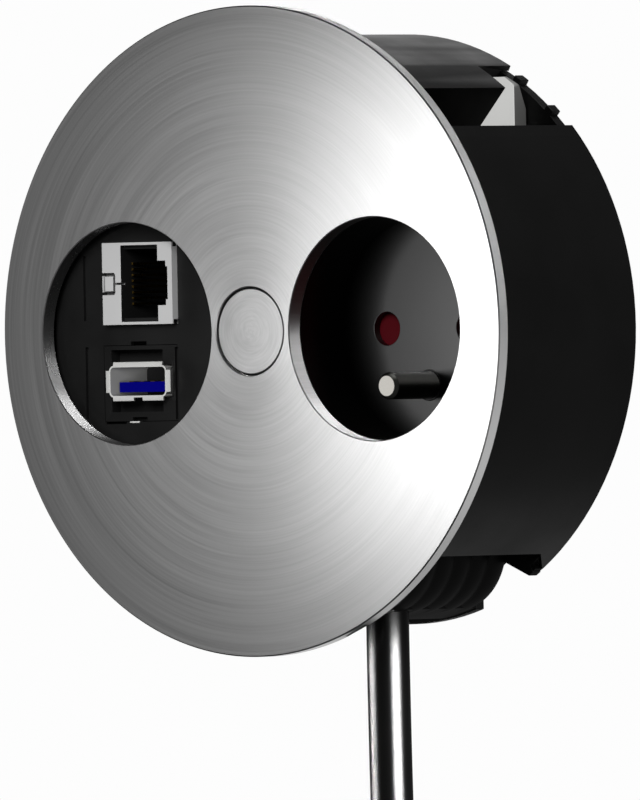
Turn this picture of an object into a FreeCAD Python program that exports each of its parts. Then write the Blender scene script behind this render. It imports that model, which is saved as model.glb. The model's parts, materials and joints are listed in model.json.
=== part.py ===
import FreeCAD, Part
import math
import os
from FreeCAD import Vector

# Built-in socket unit for a round cut-out, all sizes in millimetres.
# Origin: centre of the panel seat, on the axis of the round body.
# The front faces -Y, +X is to the right, +Z is up.
# A depth is counted backwards along +Y from the front face of the turning cover.

# Cover plate
cover_overhang = 5.2
cover_proud = 2.4
sheet = 0.8
rim_wall = 1.0
rim_gap = 0.1
rim_chamfer = 0.35
hole_inner = 9.0
hole_web = 1.0
collar_wall = 0.6
collar_depth = 3.0
edge_break = 0.15
pry_notch_angle = -67.5
pry_notch_width = 5.3
pry_notch_depth = 1.1

# Centre button
button_r = 7.55
button_gap = 0.375
button_recess = 0.27
button_thick = 1.33
button_travel = 1.0
stem_r = 1.5
stem_head_r = 2.0
stem_head_long = 0.9
button_spring_r = 2.5
button_spring_wire = 0.45
button_spring_turns = 6

# Cover carrier and its bearing
carrier_gap = 0.5
hub_cup_gap = 0.15
hub_floor_r = 8.3
hub_floor_thick = 1.45
journal_r = 4.5
spring_well_r = 3.3
spring_well_end = 10.0
journal_end = 13.95
running_gap = 0.03
slide_gap = 0.05
bush_wall = 1.47
bush_flange_r = 7.0
boss_wall = 1.4
clip_thick = 0.5
clip_r = 6.3
clip_groove = 0.6
clip_mouth_half = 2.6
lock_spring_thick = 0.3
lock_arm_r = 7.1
lock_arm_width = 2.6
lock_notch_deep = 0.7
lock_notch_half = 1.6
lock_peg_x = 3.55
lock_peg_r = 0.6
lug_angle = 45.0
lug_half_angle = 4.0
lug_high = 1.2
lug_gap_angle = 0.5
cover_turn = 90.0

# Housing
flange_thick = 1.2
flange_gap = 0.3
seat_relief = 0.3
skirt_r = 52.3
skirt_wall = 2.0
ring_step = 0.9
body_depth = 43.7
plate_depth = 4.6
plate_thick = 2.0
ledge_wide = 4.3
ledge_thick = 1.5
opening_start = -100.0
opening_end = -50.4
inner_wall_inset = 12.3
inner_wall = 1.5
tongue_long = 4.7
tongue_angle = 5.0

# Clamp claws in their channels
claw_angle = 48.2
claw_pivot_inset = 13.8
channel_half = 5.1
channel_wall = 1.2
claw_gap = 0.76
claw_length = 15.5
claw_corner = 2.0
claw_tip_thick = 0.9
claw_root_thick = 3.3
claw_slope_long = 5.8
claw_space = 5.7
claw_notch_long = 9.1
claw_notch_angle = 62.0
clamp_screw_r = 1.75
clamp_head_r = 3.2
clamp_head_thick = 1.2

# Back cover
back_thick = 2.2
back_inset = 1.1
back_gap = 0.1
tooth_wide = 1.8
tooth_inset = 0.1
tooth_pitch = 10.0
tooth_first = 47.5
tail_proud = 0.2
tail_gap = ((16.1, 6.3), (22.1, 10.9), (28.0, 8.3), (36.0, 4.7))
tail_end_angle = -55.9
back_screw_angles = (27.0, 95.0, 180.0, -30.0, -109.0)
back_screw_inset = 5.5
back_boss_r = 3.6
back_boss_long = 21.5
back_screw_long = 12.7
small_screw_r = 1.25
small_head_r = 2.4
small_head_thick = 1.3
plate_screw_angles = (78.0, 160.0, -160.0, -82.0)
plate_screw_inset = 2.2
flat_head_r = 1.9

# Power socket
well_wall = 1.2
well_front = 3.2
well_floor_depth = 14.8
well_floor = 1.5
insert_flange = 1.3
contact_pitch = 19.0
contact_hole_r = 2.95
earth_pin_r = 2.4
earth_pin_drop = 10.1
earth_pin_front = 3.15
earth_tip_r = 1.8
earth_root_r = 2.7
shutter_r = 12.9
shutter_thick = 1.8
shutter_turn = 35.0
shutter_peg_r = 1.5
shutter_spring_r = 2.6
shutter_spring_wire = 0.4
socket_back_inset = 0.7
socket_rear_space = 8.5
contact_sleeve_r = 3.3
contact_wall = 1.0
contact_slit = 0.7
sleeve_front = 20.0
sleeve_end_wall = 2.0
terminal_side = 7.0
terminal_long = 6.0
terminal_screw_r = 1.0

# Network jack and USB insert on the left
jack_shift = -0.1
jack_z = 8.9
jack_wide = 16.26
jack_tall = 14.56
jack_front = 3.2
jack_open_left = 4.33
jack_open_wide = 8.6
jack_open_tall = 12.2
jack_lip_tall = 13.6
jack_key_wide = 1.85
jack_key_tall = 7.9
jack_slot_wide = 0.42
jack_slot_tall = 5.8
jack_cavity_deep = 14.0
jack_shoulder = 9.6
jack_hook_wide = 2.8
jack_hook_tall = 3.4
jack_groove = 0.4
jack_groove_deep = 0.3
jack_wires = 8
jack_wire_pitch = 1.02
usb_shift = -0.3
usb_z = -8.45
usb_front = 3.1
usb_wide = 12.8
usb_tall = 5.06
usb_sheet = 0.3
usb_lip = 0.72
usb_deep = 10.0
usb_lip_deep = 0.5
usb_tongue_half = 5.6
usb_tongue_low = -1.9
usb_tongue_top = -0.1
usb_tongue_set_back = 1.6
usb_strip_pitch = 2.5
usb_strip_wide = 1.0
usb_insert_wide = 17.0
usb_insert_tall = 13.4
usb_insert_shift = -0.8
usb_insert_z = -8.8
usb_recess_wide = 15.2
usb_recess_tall = 11.0
usb_recess_deep = 2.4
module_gap = 0.1
module_rear_step = 0.8

# Cable and its barrel
cable_r = 3.8
barrel_x = 11.8
barrel_inset = 13.7
barrel_r = 12.0
barrel_core_r = 8.2
barrel_floor = 1.5
barrel_window_front = 4.7
barrel_window_rear = 5.5
barrel_window_half = 7.0
seat_thick = 3.35
seat_half = 6.5
seat_low = -5.6
seat_top = -1.6
clamp_bar_half = 6.4
clamp_bar_thick = 2.4
clamp_bar_z = -3.6
clamp_bar_high = 3.6
clamp_bar_screw_r = 1.0
clamp_bar_screw_head_r = 1.6
barrel_front = 9.3
rib_high = 0.5
rib_count = 7
foot_inset = 0.8
foot_half = 4.3
cable_depth = 22.2
cable_gap = 0.05
cable_start_inset = 6.3
sheath_end_rise = 2.6
wire_r = 1.2
wire_spread = 2.2
wire_rear = 1.3
wire_front = -2.2
wire_bends = {
    "neutral": (18.0, 6.2, 10.0, 7.5),
    "earth": (14.0, 8.7, 5.2, 5.6),
    "live": (9.0, 14.2, 22.0, 13.0),
}
cable_bends = (
    (0.0, 0.0, 0.0),
    (0.0, 0.0, -40.0),
    (0.8, 1.1, -80.0),
    (0.2, 2.6, -120.0),
    (-0.6, 3.1, -160.0),
    (-0.6, 3.1, -200.0),
)
connector_wide = 20.4
connector_deep = 14.6
connector_long = 34.0
connector_neck = 9.0
connector_wall = 1.5
connector_mouth_deep = 12.0
connector_pin_pitch = 5.6
connector_pin_r = 1.2
connector_pin_long = 10.0
latch_wide = 7.0
latch_thick = 1.2
latch_long = 20.0
latch_tip_high = 2.5
latch_drop = 4.0


def at(depth):
    """The Y of a depth behind the cover's front face."""
    return depth - cover_proud


def polar(radius, angle):
    """X and Z of a point on a circle about the axis."""
    return radius * math.cos(math.radians(angle)), radius * math.sin(math.radians(angle))


def cylinder(radius, near, back, x=0.0, z=0.0):
    """A round bar along the axis, between two depths."""
    return Part.makeCylinder(radius, back - near, Vector(x, at(near), z), Vector(0, 1, 0))


def cone(near_radius, back_radius, near, back, x=0.0, z=0.0):
    """A tapered round bar between two depths."""
    return Part.makeCone(near_radius, back_radius, back - near, Vector(x, at(near), z), Vector(0, 1, 0))


def tube(outer, inner, near, back, x=0.0, z=0.0):
    """A round tube between two depths."""
    return cylinder(outer, near, back, x, z).cut(cylinder(inner, near, back, x, z))


def block(left, right, near, back, low, high):
    """A box between two depths."""
    return Part.makeBox(right - left, back - near, high - low, Vector(left, at(near), low))


def centred_block(x, z, wide, tall, near, back):
    """A box about a centre line, between two depths."""
    return block(x - wide / 2, x + wide / 2, near, back, z - tall / 2, z + tall / 2)


def prism(outline, near, back):
    """An outline of X and Z points, between two depths."""
    corners = [Vector(x, at(near), z) for x, z in outline]
    face = Part.Face(Part.makePolygon(corners + corners[:1]))
    return face.extrude(Vector(0, back - near, 0))


def sector(outer, inner, near, back, start, end):
    """A piece of a ring between two angles and two depths."""
    def point(radius, angle):
        x, z = polar(radius, angle)
        return Vector(x, at(near), z)

    middle = (start + end) / 2
    edges = [
        Part.Arc(point(outer, start), point(outer, middle), point(outer, end)).toShape(),
        Part.LineSegment(point(outer, end), point(inner, end)).toShape(),
        Part.Arc(point(inner, end), point(inner, middle), point(inner, start)).toShape(),
        Part.LineSegment(point(inner, start), point(outer, start)).toShape(),
    ]
    return Part.Face(Part.Wire(edges)).extrude(Vector(0, back - near, 0))


def turned(shape, angle, x=0.0, z=0.0):
    """The shape turned from +X towards +Z about an axis along Y."""
    copy = shape.copy()
    copy.rotate(Vector(x, 0, z), Vector(0, -1, 0), angle)
    return copy


def joined(shapes):
    """The shapes as one solid."""
    first, *rest = shapes
    return first.multiFuse(rest).removeSplitter() if rest else first


def group(shapes):
    """Separate solids that belong to one node."""
    return Part.makeCompound(shapes)


def round_edges(shape, radius, depth, x=0.0, z=0.0):
    """The circular edges of one radius at one depth."""
    found = []
    for edge in shape.Edges:
        curve = edge.Curve
        if not isinstance(curve, Part.Circle) or abs(curve.Radius - radius) > 0.001:
            continue
        centre = curve.Center
        if (centre - Vector(x, at(depth), z)).Length < 0.001:
            found.append(edge)
    return found


def bevelled(shape, size, *rings):
    """The shape with a bevel on its circular edges, each given as radius, depth, x, z."""
    edges = [edge for ring in rings for edge in round_edges(shape, *ring)]
    return shape.makeChamfer(size, edges)


def screw(x, z, head_depth, tip_depth, radius, head_r, head_thick, head_first=True):
    """A pan-head screw with a cross recess, along the axis."""
    sign = 1 if head_first else -1
    near, back = sorted((head_depth, head_depth + sign * head_thick))
    head = cylinder(head_r, near, back, x, z)
    slot_near, slot_back = sorted((head_depth, head_depth + sign * head_thick * 0.5))
    cross = [
        centred_block(x, z, head_r * 1.2, head_r * 0.28, slot_near, slot_back),
        centred_block(x, z, head_r * 0.28, head_r * 1.2, slot_near, slot_back),
    ]
    shank_near, shank_back = sorted((head_depth + sign * head_thick, tip_depth))
    shank = cylinder(radius, shank_near, shank_back, x, z)
    return joined([head, shank]).cut(joined(cross))


def biarc(start, start_way, end, end_way):
    """Two arcs that leave and arrive along the given directions."""
    chord = end - start
    ways = start_way + end_way
    spread = 2 * (1 - start_way.dot(end_way))
    along = chord.dot(ways)
    reach = (-along + math.sqrt(along * along + spread * chord.dot(chord))) / spread
    meet = (start + start_way * reach + end - end_way * reach) * 0.5
    arcs = []
    for first, corner, last in (
        (start, start + start_way * reach, meet),
        (meet, end - end_way * reach, end),
    ):
        half = (first + last) * 0.5
        rise = corner - half
        sine = rise.Length / reach
        radius = (last - first).Length / 2 / sine
        top = half + rise * (radius * (1 - math.sqrt(1 - sine * sine)) / rise.Length)
        arcs.append(Part.Arc(first, top, last).toShape())
    return arcs


def coil_spring(x, z, near, back, radius, wire, turns):
    """A helical spring of round wire about an axis along Y."""
    rise = (back - near - wire) / turns
    steps = 4

    def point(step):
        angle = 2 * math.pi * step / steps
        depth = near + wire / 2 + rise * step / steps
        return Vector(x + radius * math.cos(angle), at(depth), z + radius * math.sin(angle))

    def way(step):
        angle = 2 * math.pi * step / steps
        slope = Vector(-radius * math.sin(angle), rise / (2 * math.pi), radius * math.cos(angle))
        return slope.normalize()

    edges = []
    for step in range(turns * steps):
        edges += biarc(point(step), way(step), point(step + 1), way(step + 1))
    path = Part.Wire(edges)
    section = Part.Wire(Part.Circle(point(0), way(0), wire / 2).toShape())
    return path.makePipeShell([section], True, False)


def bent_tube(points, radius, share=0.45):
    """A round bar along straight runs joined by tangent arcs, and its arcs' radii."""
    corners = [Vector(*p) for p in points]
    edges, radii, place = [], [], corners[0]
    for before, corner, after in zip(corners, corners[1:], corners[2:]):
        arriving = (corner - before)
        leaving = (after - corner)
        setback = share * min(arriving.Length, leaving.Length)
        turn = arriving.getAngle(leaving)
        radii.append(setback / math.tan(turn / 2))
        arriving.normalize()
        leaving.normalize()
        start = corner - arriving * setback
        end = corner + leaving * setback
        inward = (leaving - arriving).normalize()
        middle = corner + inward * (radii[-1] / math.cos(turn / 2) - radii[-1])
        edges.append(Part.LineSegment(place, start).toShape())
        edges.append(Part.Arc(start, middle, end).toShape())
        place = end
    edges.append(Part.LineSegment(place, corners[-1]).toShape())
    path = Part.Wire(edges)
    first_way = (corners[1] - corners[0]).normalize()
    section = Part.Wire(Part.Circle(corners[0], first_way, radius).toShape())
    shape = path.makePipeShell([section], True, False)
    return shape, radii, path.Length


# Places, depths and radii that follow from the driving dimensions
cover_r = skirt_r + cover_overhang
rim_depth = cover_proud - rim_gap
rim_in_r = cover_r - rim_wall
flange_r = rim_in_r - flange_gap
flange_front = cover_proud - flange_thick
skirt_in_r = skirt_r - skirt_wall
ring_in_r = skirt_in_r - ring_step
hole_r = (ring_in_r - hole_web - hole_inner) / 2
hole_offset = hole_inner + hole_r
carrier_r = ring_in_r - carrier_gap
carrier_back = collar_depth + slide_gap
lug_r = carrier_r + lug_high
button_hole_r = button_r + button_gap
cup_r = button_r + hub_cup_gap
cup_floor = button_recess + button_thick + button_travel + hub_cup_gap
hub_floor_back = cup_floor + hub_floor_thick
plate_back = plate_depth + plate_thick
bush_in_r = journal_r + running_gap
bush_out_r = bush_in_r + bush_wall
boss_r = bush_out_r + boss_wall
bush_front = hub_floor_back + 0.1
boss_end = 13.2
inner_wall_r = skirt_r - inner_wall_inset
back_front = body_depth - back_thick
back_r = skirt_r - back_inset
back_screw_ring_r = skirt_r - back_screw_inset
back_screw_tip = body_depth - back_screw_long
tooth_r = skirt_r - tooth_inset
tail_r = skirt_r + tail_proud
claw_half = channel_half - claw_gap
claw_pivot_r = skirt_r - claw_pivot_inset
claw_pivot = polar(claw_pivot_r, claw_angle)
claw_front_depth = body_depth - claw_space
claw_notch_depth = body_depth - claw_notch_long
insert_r = hole_r + well_wall
shutter_front = well_floor_depth + well_floor + 0.2
shutter_back = shutter_front + shutter_thick
socket_back_front = shutter_back + 0.2
socket_back_end = back_front - socket_rear_space
socket_back_r = hole_r - socket_back_inset
sleeve_back = socket_back_end - sleeve_end_wall
jack_x = -hole_offset + jack_shift
usb_x = -hole_offset + usb_shift
usb_insert_x = -hole_offset + usb_insert_shift
module_back = body_depth - module_rear_step
barrel_z = -(skirt_r - barrel_inset)
rib_pitch = (back_front - barrel_front) / rib_count
foot_z = -(skirt_r - foot_inset)
seat_back = cable_depth - cable_r - cable_gap
seat_front = seat_back - seat_thick
cable_start_z = -(skirt_r - cable_start_inset)
sheath_end_z = barrel_z + sheath_end_rise
cable_route = [(barrel_x + x, at(cable_depth) + y, cable_start_z + z) for x, y, z in cable_bends]


def cover_plate():
    """The steel sheet with its downturned rim and the collars of its two holes."""
    body = cylinder(cover_r, 0, rim_depth).cut(cylinder(rim_in_r, sheet, rim_depth))
    for x in (-hole_offset, hole_offset):
        body = body.fuse(cylinder(hole_r + collar_wall, 0, collar_depth, x))
    for x in (-hole_offset, hole_offset):
        body = body.cut(cylinder(hole_r, 0, collar_depth, x))
    body = body.cut(cylinder(button_hole_r, 0, sheet))
    notch = block(rim_in_r - 1, cover_r + 1, rim_depth - pry_notch_depth, rim_depth,
                  -pry_notch_width / 2, pry_notch_width / 2)
    body = body.cut(turned(notch, pry_notch_angle))
    body = bevelled(body, rim_chamfer, (cover_r, 0))
    return bevelled(body, edge_break, (hole_r, 0, -hole_offset), (hole_r, 0, hole_offset),
                    (button_hole_r, 0))


def cover_carrier():
    """The moulded disc behind the sheet, with the button's cup, the journal and the stop lug."""
    body = cylinder(carrier_r, sheet, carrier_back)
    for x in (-hole_offset, hole_offset):
        body = body.cut(cylinder(hole_r + collar_wall + slide_gap, sheet, carrier_back, x))
    body = body.cut(cylinder(cup_r, sheet, cup_floor))
    lug = sector(lug_r, carrier_r - 1, flange_front + 0.2, carrier_back - 0.1,
                 lug_angle - lug_half_angle, lug_angle + lug_half_angle)
    pegs = [cylinder(lock_peg_r, journal_end, journal_end + 0.5, x) for x in (-lock_peg_x, lock_peg_x)]
    body = joined([body, lug, cylinder(hub_floor_r, cup_floor, hub_floor_back),
                   cylinder(journal_r, hub_floor_back, journal_end)] + pegs)
    body = body.cut(cylinder(spring_well_r, cup_floor, spring_well_end))
    body = body.cut(cylinder(stem_r + slide_gap, spring_well_end, journal_end))
    body = body.cut(cylinder(stem_head_r + 0.6, stem_head_front() - 0.1, journal_end))
    groove = tube(journal_r, journal_r - clip_groove, boss_end + 0.05, boss_end + 0.15 + clip_thick)
    return body.cut(groove)


def stem_head_front():
    """The depth at which the stem's head begins."""
    return journal_end - slide_gap - stem_head_long


def hub_clip():
    """The open retaining ring in the journal's groove."""
    ring = tube(clip_r, journal_r - clip_groove + slide_gap, boss_end + 0.1, boss_end + 0.1 + clip_thick)
    mouth = block(0, clip_r + 1, boss_end, boss_end + 1, -clip_mouth_half, clip_mouth_half)
    return ring.cut(mouth)


def lock_spring():
    """The sprung star whose two fingers drop into the notches of the bearing boss."""
    disc = cylinder(journal_r + 0.9, journal_end, journal_end + lock_spring_thick)
    arm = centred_block(0, 0, lock_arm_width, 2 * lock_arm_r, journal_end, journal_end + lock_spring_thick)
    parts = [disc, arm]
    for side in (-1, 1):
        z = side * (lock_arm_r - lock_spring_thick)
        parts.append(centred_block(0, z, lock_arm_width, 2 * lock_spring_thick,
                                   boss_end - 0.6, journal_end + lock_spring_thick))
    body = joined(parts)
    for x in (-lock_peg_x, lock_peg_x):
        body = body.cut(cylinder(lock_peg_r + slide_gap, journal_end, journal_end + 1, x))
    return body


def button_cap():
    """The round steel cap in the middle of the cover."""
    body = cylinder(button_r, button_recess, button_recess + button_thick)
    return bevelled(body, edge_break, (button_r, button_recess))


def button_stem():
    """The stem behind the cap, with the head that holds it in."""
    top = button_recess + button_thick
    return joined([
        cylinder(stem_r, top, journal_end - slide_gap),
        cylinder(stem_head_r, stem_head_front(), journal_end - slide_gap),
    ])


def button_spring():
    """The return spring between the cap and the journal's floor."""
    return coil_spring(0, 0, button_recess + button_thick + 0.02, spring_well_end - 0.02,
                       button_spring_r, button_spring_wire, button_spring_turns)


def claw_places():
    """Mirror signs in X and Z of the three claws."""
    return ((1, 1), (-1, 1), (-1, -1))


def placed(shape, side_x, side_z):
    """The shape mirrored to a claw's quarter."""
    if side_x < 0:
        shape = shape.mirror(Vector(0, 0, 0), Vector(1, 0, 0))
    if side_z < 0:
        shape = shape.mirror(Vector(0, 0, 0), Vector(0, 0, 1))
    return shape


def channel(half, near, back):
    """A round-ended channel from a claw's pivot straight outwards, in the first quarter."""
    x, z = claw_pivot
    run = block(claw_pivot_r, skirt_r + 5, near, back, -half, half)
    return joined([cylinder(half, near, back, x, z), turned(run, claw_angle)])


def housing():
    """The round shell: flange, skirt, claw channels, ledge and screw bosses."""
    inside = cylinder(skirt_in_r + 0.5, plate_back, body_depth)
    body = joined([
        tube(flange_r, ring_in_r, flange_front, cover_proud),
        tube(skirt_r, skirt_in_r, cover_proud, body_depth),
    ])
    wall = channel(channel_half + channel_wall, plate_back + module_gap, back_front)
    walls = [placed(wall, *side).common(inside) for side in claw_places()]
    for angle in back_screw_angles:
        x, z = polar(back_screw_ring_r, angle)
        boss = cylinder(back_boss_r, back_front - back_boss_long, back_front - module_gap, x, z)
        walls.append(boss.common(inside))
    walls.append(tube(skirt_in_r + 0.5, skirt_in_r - ledge_wide, plate_back + module_gap,
                      plate_back + module_gap + ledge_thick))
    body = joined([body] + walls)
    body = body.cut(cylinder(insert_r + insert_flange + module_gap, plate_depth, socket_back_end,
                             hole_offset))
    body = body.cut(sector(skirt_r + 1, ring_in_r - 8, cover_proud, body_depth + 1,
                           opening_start, opening_end))
    relief = cylinder(skirt_r, cover_proud - seat_relief, cover_proud)
    body = body.cut(sector(skirt_r, ring_in_r - 8, cover_proud - seat_relief, cover_proud,
                           opening_start, opening_end))
    for side in claw_places():
        body = body.cut(placed(channel(channel_half, cover_proud, body_depth + 1), *side))
        mouth = channel(channel_half, cover_proud - seat_relief, cover_proud).common(relief)
        body = body.cut(placed(mouth, *side))
        notch = sector(skirt_r + 1, 0.1, claw_notch_depth, body_depth + 1, claw_angle, claw_notch_angle)
        cheek = block(claw_pivot[0] - channel_half - channel_wall, claw_pivot[0] + claw_half + 1,
                      claw_notch_depth, body_depth + 1,
                      claw_pivot[1] - channel_half - channel_wall - 1, skirt_in_r)
        outside = cylinder(skirt_in_r, claw_notch_depth, body_depth + 1)
        body = body.cut(placed(notch.fuse(cheek.common(outside)), *side))
    body = body.cut(cylinder(back_r + back_gap, back_front - module_gap, body_depth + 1))
    body = joined([body, tube_wall(), rear_tongue()])
    pocket = sector(lug_r + 0.3, ring_in_r - 1, flange_front - 1, cover_proud,
                    lug_angle - lug_half_angle - lug_gap_angle,
                    lug_angle + cover_turn + lug_half_angle + lug_gap_angle)
    body = body.cut(pocket)
    for angle in back_screw_angles:
        x, z = polar(back_screw_ring_r, angle)
        body = body.cut(cylinder(small_screw_r, back_screw_tip - 1, back_front, x, z))
    for angle in plate_screw_angles:
        x, z = polar(ring_in_r - plate_screw_inset, angle)
        body = body.cut(cylinder(small_screw_r, plate_back, plate_back + 3, x, z))
    return body


def tube_wall():
    """The inner wall that closes the shell behind the cable's opening, with its two end walls."""
    near, back = plate_back + module_gap, back_front - module_gap
    arc = sector(inner_wall_r, inner_wall_r - inner_wall, near, back, opening_start - 2, opening_end + 2)
    arc = arc.cut(cylinder(barrel_r + module_gap, near, back, barrel_x, barrel_z))
    ends = []
    for angle, low in ((opening_start, -inner_wall), (opening_end, 0)):
        end = block(inner_wall_r - inner_wall, skirt_r - 0.2, near, back, low, low + inner_wall)
        ends.append(turned(end, angle))
    return joined(arc.Solids + ends)


def rear_tongue():
    """The slanted rear corner where the right skirt reaches towards the cable."""
    start = math.radians(opening_end)
    start_depth = body_depth - tongue_long
    along = Vector(math.sin(start), 0, -math.cos(start))
    outward = Vector(math.cos(start), 0, math.sin(start))
    reach = math.radians(tongue_angle) * skirt_r
    base = outward * (skirt_in_r - 2)
    corners = [
        base - along * 1.0 + Vector(0, at(start_depth), 0),
        base + Vector(0, at(start_depth), 0),
        base + along * reach + Vector(0, at(body_depth), 0),
        base - along * 1.0 + Vector(0, at(body_depth), 0),
    ]
    wedge = Part.Face(Part.makePolygon(corners + corners[:1])).extrude(outward * (skirt_wall + 4))
    return tube(skirt_r, back_r + back_gap, start_depth, body_depth).common(wedge)


def front_plate():
    """The black plate behind the cover, with the bearing boss and the modules' cut-outs."""
    body = joined([
        cylinder(ring_in_r - 0.2, plate_depth, plate_back),
        cylinder(boss_r, plate_depth, boss_end),
    ])
    body = body.cut(cylinder(bush_out_r, plate_depth, boss_end))
    body = body.cut(cylinder(insert_r + slide_gap, plate_depth, plate_back, hole_offset))
    body = body.cut(centred_block(jack_x, jack_z, jack_wide + 2 * module_gap, jack_tall + 2 * module_gap,
                                  plate_depth, plate_back))
    body = body.cut(centred_block(usb_insert_x, usb_insert_z, usb_insert_wide + 2 * module_gap,
                                  usb_insert_tall + 2 * module_gap, plate_depth, plate_back))
    for quarter in range(4):
        notch = block(bush_out_r + 0.2, boss_r + 1, boss_end - lock_notch_deep, boss_end,
                      -lock_notch_half, lock_notch_half)
        body = body.cut(turned(notch, 90 * quarter))
    for side in claw_places():
        x, z = claw_pivot[0] * side[0], claw_pivot[1] * side[1]
        body = body.cut(cylinder(clamp_screw_r + 0.25, plate_depth, plate_back, x, z))
        body = body.cut(cylinder(clamp_head_r + 0.3, plate_depth, plate_depth + clamp_head_thick + 0.1,
                                 x, z))
    for angle in plate_screw_angles:
        x, z = polar(ring_in_r - plate_screw_inset, angle)
        body = body.cut(cylinder(small_screw_r + 0.1, plate_depth, plate_back, x, z))
    return body


def plate_screws():
    """The screws that hold the front plate on the ledge."""
    places = [polar(ring_in_r - plate_screw_inset, angle) for angle in plate_screw_angles]
    return group([screw(x, z, plate_depth - small_head_thick, plate_back + 1.4, small_screw_r, flat_head_r,
                        small_head_thick) for x, z in places])


def hub_bush():
    """The bearing bush of the cover's journal."""
    return joined([
        tube(bush_out_r, bush_in_r, plate_depth, boss_end),
        tube(bush_flange_r, bush_in_r, bush_front, plate_depth),
    ])


def back_cover():
    """The rear plate, with teeth where the skirt is open and a tail below the cable barrel."""
    body = cylinder(back_r, back_front, body_depth)
    teeth = []
    for side in claw_places():
        for step in range(2):
            x, z = polar(1, tooth_first + step * tooth_pitch)
            tooth = block(back_r - 1, tooth_r, back_front, body_depth, -tooth_wide / 2, tooth_wide / 2)
            teeth.append(placed(turned(tooth, tooth_first + step * tooth_pitch), *side))
    tail = sector(tail_r, back_r - 2, back_front, body_depth, opening_start + 3, tail_end_angle)
    body = joined([body, tail] + teeth)
    gap = [(tail_gap[0][0], -2 * skirt_r)] + [(x, inset - skirt_r) for x, inset in tail_gap]
    gap.append((tail_gap[-1][0], -2 * skirt_r))
    body = body.cut(prism(gap, back_front, body_depth))
    body = body.cut(centred_block(jack_x, jack_z, jack_wide + 0.6, jack_tall + 0.6, back_front, body_depth))
    body = body.cut(centred_block(usb_insert_x, usb_insert_z, usb_insert_wide + 0.6, usb_insert_tall + 0.6,
                                  back_front, body_depth))
    for angle in back_screw_angles:
        x, z = polar(back_screw_ring_r, angle)
        body = body.cut(cylinder(small_screw_r + 0.15, back_front, body_depth, x, z))
        body = body.cut(cylinder(small_head_r + 0.2, body_depth - small_head_thick, body_depth, x, z))
    for side in claw_places():
        x, z = claw_pivot[0] * side[0], claw_pivot[1] * side[1]
        body = body.cut(cylinder(clamp_screw_r + slide_gap, back_front, back_front + 1.5, x, z))
    return body


def back_screws():
    """The screws of the back cover."""
    places = [polar(back_screw_ring_r, angle) for angle in back_screw_angles]
    return group([screw(x, z, body_depth, back_screw_tip, small_screw_r, small_head_r,
                        small_head_thick, False) for x, z in places])


def socket_insert():
    """The round well of the power socket, with its floor."""
    floor_back = well_floor_depth + well_floor
    body = cylinder(insert_r, well_front, floor_back, hole_offset)
    flange = cylinder(insert_r + insert_flange, plate_back + slide_gap, plate_back + 1.5, hole_offset)
    body = joined([body, flange.common(cylinder(skirt_in_r - 0.2, plate_back, plate_back + 2))])
    body = body.cut(cylinder(hole_r, well_front, well_floor_depth, hole_offset))
    for x in (-contact_pitch / 2, contact_pitch / 2):
        body = body.cut(cylinder(contact_hole_r, well_floor_depth, floor_back, hole_offset + x))
    body = body.cut(cylinder(earth_root_r, well_floor_depth, floor_back, hole_offset, -earth_pin_drop))
    body = body.cut(cylinder(hub_floor_r + 0.3, well_front, hub_floor_back + 0.2))
    body = body.cut(cylinder(boss_r + slide_gap, plate_depth, floor_back))
    for z in (-socket_screw_offset(), socket_screw_offset()):
        body = body.cut(cylinder(small_screw_r, floor_back - 1.0, floor_back, hole_offset, z))
    return body


def socket_screw_offset():
    """How far the socket's two screws lie above and below its axis."""
    return (shutter_r + socket_back_r) / 2


def safety_shutter():
    """The red disc that closes the two contact holes until a plug turns it."""
    body = cylinder(shutter_r, shutter_front, shutter_back)
    body = body.cut(cylinder(shutter_peg_r + slide_gap, shutter_front, shutter_back))
    for angle in (-shutter_turn, 180 - shutter_turn):
        x, z = polar(contact_pitch / 2, angle)
        body = body.cut(cylinder(contact_hole_r, shutter_front, shutter_back, x, z))
    half = math.degrees((earth_root_r + 0.3) / earth_pin_drop)
    slot = sector(shutter_r + 1, earth_pin_drop - earth_root_r - 0.3, shutter_front, shutter_back,
                  -90 - shutter_turn - half, -90 + half)
    body = body.cut(slot)
    body.translate(Vector(hole_offset, 0, 0))
    return body


def shutter_spring():
    """The coil round the shutter's peg that turns it back."""
    return coil_spring(hole_offset, 0, socket_back_front + 0.1, socket_back_front + 2.2,
                       shutter_spring_r, shutter_spring_wire, 3)


def socket_back():
    """The rear block of the socket, with the contact chambers and the shutter's peg."""
    floor_back = well_floor_depth + well_floor
    body = joined([
        cylinder(socket_back_r, socket_back_front, socket_back_end, hole_offset),
        tube(socket_back_r, shutter_r + 0.3, floor_back, socket_back_front, hole_offset),
    ])
    body = body.cut(cylinder(shutter_spring_r + 1, socket_back_front, socket_back_front + 2.6, hole_offset))
    body = joined([body, cylinder(shutter_peg_r, floor_back + 0.1, socket_back_front + 3, hole_offset)])
    for x in (-contact_pitch / 2, contact_pitch / 2):
        body = body.cut(cylinder(contact_hole_r, socket_back_front, sleeve_front, hole_offset + x))
        body = body.cut(cylinder(contact_sleeve_r + slide_gap, sleeve_front - slide_gap,
                                 socket_back_end, hole_offset + x))
    body = body.cut(cylinder(earth_root_r, socket_back_front, socket_back_end,
                             hole_offset, -earth_pin_drop))
    for z in (-socket_screw_offset(), socket_screw_offset()):
        body = body.cut(cylinder(small_screw_r + 0.1, floor_back, socket_back_end, hole_offset, z))
    return body


def socket_screws():
    """The two screws that hold the socket's halves together."""
    tip = well_floor_depth + well_floor - 0.9
    return group([screw(hole_offset, z, socket_back_end + small_head_thick, tip, small_screw_r, flat_head_r,
                        small_head_thick, False)
                  for z in (-socket_screw_offset(), socket_screw_offset())])


def terminal(x, z):
    """A screw terminal block behind the socket, open below for its wire."""
    body = centred_block(x, z, terminal_side, terminal_side, socket_back_end + slide_gap,
                         socket_back_end + slide_gap + terminal_long)
    return body


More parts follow.
